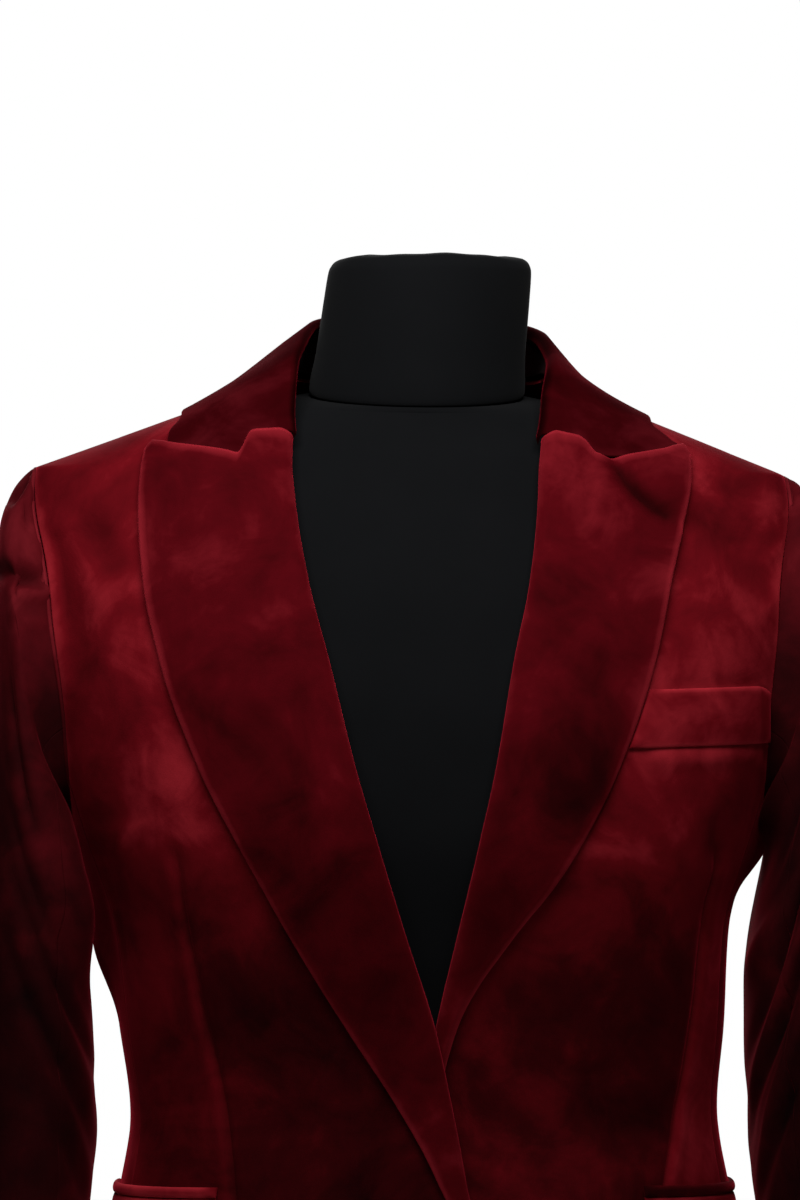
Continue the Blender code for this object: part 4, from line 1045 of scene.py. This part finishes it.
def sleeve_surface(step, angle):
    """Points of the left sleeve: steps down from the armhole; angle 0 is outside, 90 the front."""
    turn, height = armhole(angle)
    start = body(turn, height) + np.array([SLEEVE_START, 0.0, 0.0])
    along = np.clip((step - 1.0) / (SLEEVE_STEPS - 1.0), 0.0, 1.0)
    at = {name: value(along) for name, value in SLEEVE.items()}
    outer = stacked(at["outer_x"], at["mid_y"], at["outer_z"])
    inner = stacked(at["inner_x"], at["mid_y"], at["inner_z"])
    radians = np.radians(angle)
    across = power(np.cos(radians), 2.0 / SLEEVE_ROUNDNESS)[..., None]
    forward = power(np.sin(radians), 2.0 / SLEEVE_ROUNDNESS) * at["depth"]
    hung = (outer + inner) / 2 + (outer - inner) / 2 * across - stacked(0.0 * forward, forward, 0.0 * forward)
    blend = ease(0.0, ARMHOLE_BLEND_RINGS, step)[..., None]
    return start * (1.0 - blend) + hung * blend, along


def make_sleeve(side, word):
    rows, top, under = GRIDS["sleeve"]
    spans = (
        ("top_sleeve_", -SLEEVE_SEAM, SLEEVE_SEAM, top),
        ("under_sleeve_", SLEEVE_SEAM, 360.0 - SLEEVE_SEAM, under),
    )
    mirror = np.array([side, 1.0, 1.0])
    made = []
    for stem, first, last, columns in spans:
        step = (stops(*rows) * SLEEVE_STEPS)[:, None]
        angle = (first + (last - first) * stops(*columns))[None, :]
        step, angle = np.broadcast_arrays(step, angle)
        flat, along = sleeve_surface(step, angle)
        ahead = sleeve_surface(step, angle + 1.0)[0] - sleeve_surface(step, angle - 1.0)[0]
        normals = unit(np.cross(np.gradient(flat, axis=0), ahead))
        axis = stacked(np.full(step.shape, SLEEVE_AXIS_X), SLEEVE["mid_y"](along), flat[..., 2])
        if np.sum(normals * (flat - axis)) < 0:
            normals = -normals
        relief = sleeve_relief(side, along, angle) + waves(flat, "sleeve", side)
        relief = (relief + head_relief(side, flat)) * ease(0.0, SLEEVE_CALM_STEPS, step)
        # Painted light and shade: lighter ridges and darker creases, darker low down and most on the fronts,
        # and a painted highlight at the sleeve head
        darker, low, high = SLEEVE_LOW_SHADE[side]
        facing = ease(*SLEEVE_SHADE_TURN, np.sin(np.radians(angle)))
        darker = darker * (SLEEVE_SHADE_LEAST + (1.0 - SLEEVE_SHADE_LEAST) * facing)
        nap = SLEEVE_RELIEF_SHADE * np.minimum(relief, SLEEVE_LIGHT_CREST)
        nap = nap - darker * (1.0 - ease(low, high, flat[..., 2]))
        nap = nap + ARMHOLE_HIGHLIGHT * bell(step / SLEEVE_HEAD_STEPS)
        middle = inset(flat + normals * (relief - HALF_WALL)[..., None])
        made.append(sheet_object(stem + word, middle * mirror, HALF_WALL, outward=normals * mirror, nap=nap))
    return made


def make_patch(name, side, angle, z, half, swell, mirror_side, tone=0.0, stitched=0.0):
    """A small piece that lies on a panel, slightly fuller in its middle, with a stitched line across it where
    one is given. It is painted lighter or darker by its tone, with a painted highlight along its rim and
    painted shade in the stitched line.
    """
    flat = body(angle, z)
    full = swell * calm("patch", flat) - stitched
    middle = on_body(side, angle, z, LYING_GAP + half + full)
    mirror = np.array([mirror_side, 1.0, 1.0])
    outward = (on_body(side, angle, z, 1.0) - middle) * mirror
    rim = bell(edge_distance(middle) / PATCH_RIM_WIDTH) * ease(*PATCH_RIM_START, lengths(flat, 1)[0])
    nap = tone + PATCH_RIM_HIGHLIGHT * rim - STITCH_SHADE * stitched
    return sheet_object(name, middle * mirror, half, WELT_EDGE_RADIUS, outward=outward, nap=nap)


def make_chest_welt():
    rows, columns = GRIDS["welt"]
    across = stops(*columns)[None, :]
    up = WELT_LOW_Z + (WELT_HIGH_Z - WELT_LOW_Z) * stops(*rows)[:, None]
    inner = lapel_edge(LEFT, up) + WELT_LAPEL_GAP
    x = inner + (WELT_OUTER_X - inner) * across
    rounding = WELT_CORNER * np.clip((across - WELT_CORNER_START) / (1.0 - WELT_CORNER_START), 0.0, 1.0) ** 2
    z = up + WELT_TILT * across - rounding * ease(WELT_LOW_Z, WELT_HIGH_Z, up)
    stitched = WELT_STITCH_DEPTH * bell((WELT_OUTER_X - x - WELT_STITCH_INSET) / WELT_STITCH_WIDTH)
    angle = front_angle(x, z)
    return make_patch("chest_welt", LEFT, angle, z, HALF_WELT, WELT_SWELL, 1.0, WELT_SHADE, stitched)


def make_hip_pocket(side, word):
    jet_rows, flap_rows, columns = GRIDS["pocket"]
    across = stops(*columns)[None, :]
    angle = POCKET_FRONT_ANGLE + (POCKET_BACK_ANGLE - POCKET_FRONT_ANGLE) * across
    jet_z = POCKET_Z + JET_HEIGHT * stops(*jet_rows)[:, None]
    top = POCKET_Z - JET_GAP
    flap_z = top - FLAP_HEIGHT * stops(*flap_rows)[:, None]
    slant = POCKET_SLANT * (1.0 - across)
    made = []
    strips = (
        ("hip_jet_", jet_z, HALF_JET, 0.0, JET_LIGHT_AND_SHADE[side]),
        ("hip_flap_", flap_z, HALF_WALL, FLAP_SWELL, FLAP_LIGHT),
    )
    for stem, z, half, swell, tone in strips:
        angles, heights = np.broadcast_arrays(angle, z + slant)
        made.append(make_patch(stem + word, RIGHT, angles, heights, half, swell, -side, tone))
    return made


# Materials
# Middle tone, sheen and gloss of the pile on each group of pieces: the lapels and the collar have darker
# tones, the sleeves a darker tone that is painted shade, and the collar stand a nearly black tone that is
# painted shade
VELVET_TONES = {
    "panel": ((0.150, 0.0034, 0.0074), 0.40, 0.030),
    "lapel": ((0.080, 0.0014, 0.0038), 0.40, 0.024),
    "collar": ((0.036, 0.0010, 0.0022), 0.14, 0.003),
    "sleeve": ((0.080, 0.0024, 0.0050), 0.16, 0.045),
    "inside": ((0.004, 0.0003, 0.0005), 0.00, 0.030),
}
# Places on the scale of cloudy nap plus painted light and shade, and how much lighter or darker than the
# middle tone the cloth is there
NAP_AND_SHADE_STOPS = ((0.08, 0.06), (0.28, 0.30), (0.50, 1.0), (0.62, 1.9), (0.85, 3.6))
# Painted sheen: the lighter stops, where the painted highlights on the rims fall, are made paler by this
# share of the red
PAINTED_SHEEN_WHITENESS = 0.045
VELVET_SHEEN = (1.0, 0.03, 0.07, 1.0)


def new_material(name):
    made = bpy.data.materials.new(name)
    made.use_nodes = True
    tree = made.node_tree
    return made, tree, tree.nodes["Principled BSDF"]


def noise(tree, scale, detail, roughness=0.5, distortion=0.0):
    node = tree.nodes.new("ShaderNodeTexNoise")
    node.inputs["Scale"].default_value = scale
    node.inputs["Detail"].default_value = detail
    node.inputs["Roughness"].default_value = roughness
    node.inputs["Distortion"].default_value = distortion
    place = tree.nodes.new("ShaderNodeTexCoord")
    tree.links.new(place.outputs["Object"], node.inputs["Vector"])
    return node


def mixed(tree, first, second, factor):
    """A blend of two grey values by a fixed factor."""
    node = tree.nodes.new("ShaderNodeMix")
    node.inputs["Factor"].default_value = factor
    tree.links.new(first, node.inputs["A"])
    tree.links.new(second, node.inputs["B"])
    return node.outputs["Result"]


def two_toned(tree, shader, pattern, dark, light):
    """Colours a surface between two tones by a noise pattern."""
    ramp = tree.nodes.new("ShaderNodeValToRGB")
    for point, tone in zip(ramp.color_ramp.elements, (dark, light)):
        point.color = tone + (1.0,)
    tree.links.new(pattern.outputs["Fac"], ramp.inputs["Fac"])
    tree.links.new(ramp.outputs["Color"], shader.inputs["Base Color"])


def bumped(tree, shader, height, strength, distance):
    bump = tree.nodes.new("ShaderNodeBump")
    bump.inputs["Strength"].default_value = strength
    bump.inputs["Distance"].default_value = distance
    tree.links.new(height, bump.inputs["Height"])
    tree.links.new(bump.outputs["Normal"], shader.inputs["Normal"])


def velvet_material(name, tone, sheen, gloss):
    """Burgundy velvet: cloudy nap, fine pile and a sheen at grazing angles, lightened and darkened by the
    painted light and shade kept on each piece.
    """
    made, tree, shader = new_material(name)
    clouds = noise(tree, 11.0, 5.0, 0.55, 0.8)
    patches = noise(tree, 34.0, 4.0, 0.6, 0.6)
    pile = noise(tree, 1400.0, 2.0)
    nap = mixed(tree, clouds.outputs["Fac"], patches.outputs["Fac"], 0.35)
    ramp = tree.nodes.new("ShaderNodeValToRGB")
    points = ramp.color_ramp.elements
    points[0].position, points[1].position = NAP_AND_SHADE_STOPS[0][0], NAP_AND_SHADE_STOPS[-1][0]
    for place, _ in NAP_AND_SHADE_STOPS[1:-1]:
        points.new(place)
    for point, (place, strength) in zip(points, NAP_AND_SHADE_STOPS):
        pale = PAINTED_SHEEN_WHITENESS * tone[0] * max(strength - 1.0, 0.0)
        point.color = (tone[0] * strength, tone[1] * strength + pale, tone[2] * strength + pale, 1.0)
    # The painted light and shade of each piece, added to the cloudy nap before the ramp
    lie = tree.nodes.new("ShaderNodeAttribute")
    lie.attribute_name = "nap"
    total = tree.nodes.new("ShaderNodeMath")
    tree.links.new(nap, total.inputs[0])
    tree.links.new(lie.outputs["Fac"], total.inputs[1])
    tree.links.new(total.outputs["Value"], ramp.inputs["Fac"])
    tree.links.new(ramp.outputs["Color"], shader.inputs["Base Color"])
    shader.inputs["Roughness"].default_value = 0.85
    shader.inputs["Specular IOR Level"].default_value = gloss
    shader.inputs["Sheen Weight"].default_value = sheen
    shader.inputs["Sheen Roughness"].default_value = 0.30
    shader.inputs["Sheen Tint"].default_value = VELVET_SHEEN
    bumped(tree, shader, mixed(tree, pile.outputs["Fac"], patches.outputs["Fac"], 0.4), 0.35, 0.0006)
    return made


def jersey_material():
    """Black stretch jersey: a fine even knit with a faint soft sheen."""
    made, tree, shader = new_material("black_jersey")
    knit = noise(tree, 2600.0, 1.0)
    shade = noise(tree, 14.0, 3.0)
    two_toned(tree, shader, shade, (0.0030, 0.0032, 0.0036), (0.0060, 0.0062, 0.0070))
    shader.inputs["Roughness"].default_value = 0.9
    shader.inputs["Specular IOR Level"].default_value = 0.05
    shader.inputs["Sheen Weight"].default_value = 0.02
    shader.inputs["Sheen Roughness"].default_value = 0.5
    bumped(tree, shader, knit.outputs["Fac"], 0.2, 0.0003)
    return made


def button_material():
    made, tree, shader = new_material("dark_button")
    streaks = noise(tree, 260.0, 3.0, 0.6, 1.5)
    two_toned(tree, shader, streaks, (0.010, 0.0015, 0.002), (0.040, 0.006, 0.008))
    shader.inputs["Roughness"].default_value = 0.32
    return made


def plain_material(name, colour, roughness):
    made, _, shader = new_material(name)
    shader.inputs["Base Color"].default_value = colour
    shader.inputs["Roughness"].default_value = roughness
    return made


# Dress form sections: height, half width, depth in front and behind
FORM_SECTIONS = (
    (0.000, 0.1450, 0.088, 0.094),
    (0.070, 0.1560, 0.096, 0.104),
    (0.180, 0.1560, 0.094, 0.102),
    (0.293, 0.1450, 0.089, 0.083),
    (0.340, 0.1390, 0.086, 0.067),
    (0.385, 0.1420, 0.090, 0.070),
    (0.435, 0.1470, 0.101, 0.079),
    (0.490, 0.1590, 0.111, 0.088),
    (0.540, 0.1690, 0.108, 0.093),
    (0.600, 0.1750, 0.093, 0.091),
    (0.640, 0.1750, 0.077, 0.083),
    (0.664, 0.1730, 0.066, 0.076),
)
FORM_SHOULDER_DROP = 0.0032
# Shoulders of the form: height, how far it lies inside the cloth in front and behind
FORM_SHOULDER_ROWS = (
    (0.6790, 0.0070, 0.0160),
    (0.6900, 0.0070, 0.0150),
    (0.7010, 0.0065, 0.0120),
    (0.7120, 0.0055, 0.0080),
    (0.7180, 0.0045, 0.0060),
)
FORM_NECK_HALF = 0.0565
FORM_NECK_DEPTH = 0.0510
FORM_NECK_MID_Y = 0.0030
NECK_SEAM_Z = 0.7205
NECK_SEAM_DROP = 0.0150
NECK_SEAM_GAP = 0.0003
# Neck: rise over its seam, half width, half depth
FORM_NECK_SECTIONS = (
    (0.000, 0.0560, 0.0508),
    (0.003, 0.0562, 0.0510),
    (0.020, 0.0545, 0.0500),
    (0.045, 0.0535, 0.0495),
    (0.056, 0.0528, 0.0490),
    (0.0595, 0.0512, 0.0475),
    (0.0615, 0.0480, 0.0445),
    (0.0625, 0.0400, 0.0370),
)
FORM_SIDES = 144
FORM_LEVELS = ((0.0, 0.66, 90), (0.664, FORM_SHOULDER_ROWS[-1][0], 36))
NECK_LOWEST_RISES = (0.0, 0.0008, 0.002)
NECK_RISES = ((0.004, 0.054, 20), (0.0555, 0.0625, 14))
NECK_SEAM_PINCH = (0.0010, 0.0008)
NECK_TOP_WOBBLE = 0.0003


def ring_solid(name, rings):
    """A closed solid through rings of equal count, with a fan over each end."""
    count = len(rings[0])
    ends = np.array([np.mean(rings[0], axis=0), np.mean(rings[-1], axis=0)])
    points = settle(np.concatenate([np.concatenate(rings), ends]))
    low = len(rings) * count
    faces = []
    for k in range(count):
        after = (k + 1) % count
        faces.append((low, after, k))
        for i in range(len(rings) - 1):
            start = i * count
            faces.append((start + k, start + after, start + count + after, start + count + k))
        top = (len(rings) - 1) * count
        faces.append((top + k, top + after, low + 1))
    return mesh_object(name, points, faces)


def neck_seam_height(angle):
    return NECK_SEAM_Z - NECK_SEAM_DROP * (1.0 + np.cos(np.radians(angle))) / 2


def neck_ring(angle, z, half, depth):
    return ring(angle, z, half, depth, depth, 2.0) + np.array([0.0, FORM_NECK_MID_Y, 0.0])


def make_form():
    angle = np.arange(FORM_SIDES) * 360.0 / FORM_SIDES
    rows = [(z, half, front, back, 0.0) for z, half, front, back in FORM_SECTIONS]
    lowest = FORM_SHOULDER_ROWS[0][0]
    height = FORM_SHOULDER_ROWS[-1][0] - lowest
    for z, inset_front, inset_back in FORM_SHOULDER_ROWS:
        level = z + FORM_SHOULDER_DROP
        front = float(BODY["front"](level)) - inset_front
        back = float(BODY["back"](level)) - inset_back
        rows.append((z, shoulder_half(level), front, back, ((z - lowest) / height) ** 2))
    keys = np.array([row[0] for row in rows])
    shapes = [curve(keys, [row[i] for row in rows]) for i in range(1, 5)]
    rings = []
    for z in np.concatenate([np.linspace(*span) for span in FORM_LEVELS]):
        half, front, back, share = (float(shape(z)) for shape in shapes)
        points = ring(angle, np.full(FORM_SIDES, z), half, front, back, BODY_ROUNDNESS)
        points[:, 2] += (neck_seam_height(angle) - NECK_SEAM_Z) * share
        rings.append(points)
    top = neck_seam_height(angle)
    for step, shrink in ((0.0, 0.0), (-0.0006, 0.0015)):
        rings.append(neck_ring(angle, top + step, FORM_NECK_HALF - shrink, FORM_NECK_DEPTH - shrink))
    torso = ring_solid("form_torso", rings)
    rings = []
    keys = [row[0] for row in FORM_NECK_SECTIONS]
    half_of = curve(keys, [row[1] for row in FORM_NECK_SECTIONS])
    depth_of = curve(keys, [row[2] for row in FORM_NECK_SECTIONS])
    turn = np.radians(angle)
    wobble = NECK_TOP_WOBBLE * (np.sin(turn * 5 + 0.7) + 0.6 * np.sin(turn * 11))
    seam = neck_seam_height(angle) + NECK_SEAM_GAP
    pinch, pinch_height = NECK_SEAM_PINCH
    for rise in np.concatenate([NECK_LOWEST_RISES] + [np.linspace(*span) for span in NECK_RISES]):
        level = rise / keys[-1]
        z = seam + (NECK_SEAM_Z - seam) * level + rise + wobble * level**6
        shrink = pinch * bell(rise / pinch_height)
        rings.append(neck_ring(angle, z, float(half_of(rise)) - shrink, float(depth_of(rise)) - shrink))
    neck = ring_solid("form_neck", rings)
    return torso, neck


# Button: place, radius, and its profile as shares of the radius and heights
BUTTON_X = 0.004
BUTTON_Z = 0.245
BUTTON_RADIUS = 0.0100
BUTTON_SIDES = 48
BUTTON_PROFILE = (
    (0.80, 0.0), (0.95, 0.0005), (1.0, 0.0014), (1.0, 0.0028), (0.96, 0.0037),
    (0.88, 0.0040), (0.80, 0.0037), (0.72, 0.0031), (0.40, 0.0028),
)


def make_button():
    """The button on the right front, just under the break of the lapels."""
    turn = np.arange(BUTTON_SIDES) * 2 * math.pi / BUTTON_SIDES
    angle = front_angle(-BUTTON_X, BUTTON_Z)
    normal = body_normal(angle, BUTTON_Z) * np.array([RIGHT, 1.0, 1.0])
    seat = on_body(RIGHT, angle, BUTTON_Z, np.array(LYING_GAP))
    side = unit(np.cross(normal, np.array([0.0, 0.0, 1.0])))
    up = np.cross(side, normal)
    rings = []
    circle = np.cos(turn)[:, None] * side + np.sin(turn)[:, None] * up
    for radius, height in BUTTON_PROFILE:
        rings.append(seat + circle * radius * BUTTON_RADIUS + normal * height)
    return ring_solid("front_button", rings)


def area_light(name, place, target, size, watts):
    data = bpy.data.lights.new(name, "AREA")
    data.shape = "RECTANGLE"
    data.size, data.size_y = size
    data.energy = watts
    made = bpy.data.objects.new(name, data)
    made.location = place
    made.rotation_euler = (Vector(target) - Vector(place)).to_track_quat("-Z", "Y").to_euler()
    bpy.context.scene.collection.objects.link(made)


# Camera: the point it looks at, the turn, the distance and the height of the frame there
CAMERA_TARGET = Vector((-0.0125, 0.0, 0.605))
CAMERA_AZIMUTH = math.radians(-2.0)
CAMERA_DISTANCE = 2.6
FRAME_HEIGHT = 0.624
SENSOR = 36.0


def make_camera():
    data = bpy.data.cameras.new("camera")
    data.sensor_width = SENSOR
    data.lens = SENSOR * CAMERA_DISTANCE / FRAME_HEIGHT
    made = bpy.data.objects.new("camera", data)
    back = Vector((math.sin(CAMERA_AZIMUTH), -math.cos(CAMERA_AZIMUTH), 0.0))
    made.location = CAMERA_TARGET + back * CAMERA_DISTANCE
    made.rotation_euler = (math.radians(90.0), 0.0, CAMERA_AZIMUTH)
    bpy.context.scene.collection.objects.link(made)
    bpy.context.scene.camera = made


FLOOR_RADIUS = 1.6
FLOOR_SIDES = 96
FLOOR_Z = -0.0005
WHITE = (1.0, 1.0, 1.0, 1.0)
FILL_STRENGTH = 0.03
# Lights: place, the point they face, width and height, power
LIGHTS = {
    "key": ((-0.05, -0.52, 1.10), (0.0, -0.06, 0.66), (0.60, 0.24), 5.6),
    "front": ((-0.30, -2.40, 1.40), (0.0, 0.0, 0.55), (1.2, 1.2), 1.6),
    "back": ((0.0, 1.6, 1.3), (0.0, 0.0, 0.5), (1.4, 1.0), 14.0),
}


def make_stage():
    """Pale floor, white surroundings and soft lights in front and behind."""
    turn = np.arange(FLOOR_SIDES) * 2 * math.pi / FLOOR_SIDES
    points = stacked(FLOOR_RADIUS * np.cos(turn), FLOOR_RADIUS * np.sin(turn), FLOOR_Z)
    floor = mesh_object("floor", points, [tuple(range(FLOOR_SIDES))])
    floor.data.materials.append(plain_material("pale_floor", (0.80, 0.80, 0.80, 1.0), 0.7))
    world = bpy.data.worlds.new("studio")
    world.use_nodes = True
    tree = world.node_tree
    seen = tree.nodes["Background"]
    seen.inputs["Color"].default_value = WHITE
    fill = tree.nodes.new("ShaderNodeBackground")
    fill.inputs["Color"].default_value = WHITE
    fill.inputs["Strength"].default_value = FILL_STRENGTH
    path = tree.nodes.new("ShaderNodeLightPath")
    mix = tree.nodes.new("ShaderNodeMixShader")
    tree.links.new(path.outputs["Is Camera Ray"], mix.inputs["Fac"])
    tree.links.new(fill.outputs["Background"], mix.inputs[1])
    tree.links.new(seen.outputs["Background"], mix.inputs[2])
    tree.links.new(mix.outputs["Shader"], tree.nodes["World Output"].inputs["Surface"])
    bpy.context.scene.world = world
    bpy.context.scene.view_settings.view_transform = "Standard"
    for name, light in LIGHTS.items():
        area_light(name, *light)


# Flat cut of each kind of sheet: width, length, share of that rectangle which is cloth,
# how it is held, and the pieces that carry it (the word of its side is added after an underscore)
CUTS = {
    "front": (0.300, 0.690, 0.62, "draped", ("form_torso",)),
    "lapel": (0.100, 0.420, 0.55, "folded", ("front_",)),
    "side_panel": (0.100, 0.450, 0.85, "draped", ("form_torso",)),
    "back": (0.250, 0.680, 0.80, "draped", ("form_torso",)),
    "collar_fall": (0.420, 0.075, 0.75, "folded", ("collar_stand",)),
    "collar_stand": (0.300, 0.032, 0.70, "draped", ("back_left", "back_right")),
    "top_sleeve": (0.240, 0.610, 0.80, "hung", ("front_", "back_")),
    "under_sleeve": (0.150, 0.470, 0.80, "hung", ("front_", "back_")),
    "chest_welt": (0.080, 0.036, 0.90, "laid", ("front_left",)),
    "hip_jet": (0.135, 0.010, 0.90, "laid", ("front_",)),
    "hip_flap": (0.135, 0.055, 0.95, "hung", ("hip_jet_",)),
}


# Which pieces have another tone than the panels; the collar stand's is painted shade
TONE_GROUPS = (
    ("lapel", "lapel"),
    ("collar_fall", "collar"),
    ("collar_stand", "inside"),
    ("top_sleeve", "sleeve"),
    ("under_sleeve", "sleeve"),
)


def declare(piece, material_name, materials):
    piece.data.materials.append(materials[material_name])
    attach(piece, "root")


def main():
    materials = {
        "jersey": jersey_material(),
        "button": button_material(),
    }
    for group, (tone, sheen, gloss) in VELVET_TONES.items():
        materials[group] = velvet_material(group + "_velvet", tone, sheen, gloss)
    cloth = []
    for side, word in WORDS.items():
        cloth.append(make_front(side, word))
        cloth.append(make_lapel(side, word))
        cloth.append(make_side_panel(side, word))
        cloth.append(make_back(side, word))
        cloth.extend(make_sleeve(side, word))
        cloth.extend(make_hip_pocket(side, word))
    cloth.extend(make_collar())
    cloth.append(make_chest_welt())
    for piece in cloth:
        groups = [group for stem, group in TONE_GROUPS if piece.name.startswith(stem)]
        declare(piece, groups[0] if groups else "panel", materials)
    torso, neck = make_form()
    for piece in (torso, neck):
        declare(piece, "jersey", materials)
    button = make_button()
    declare(button, "button", materials)
    for piece in cloth + [torso, neck, button]:
        node = piece.name.split(".")[0]
        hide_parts(node)
    for piece in cloth:
        node = piece.name.split(".")[0]
        word = node.split("_")[-1]
        width, length, share, held, carriers = CUTS[node.removesuffix("_left").removesuffix("_right")]
        carriers = [name + word if name.endswith("_") else name for name in carriers]
    make_camera()
    make_stage()


main()
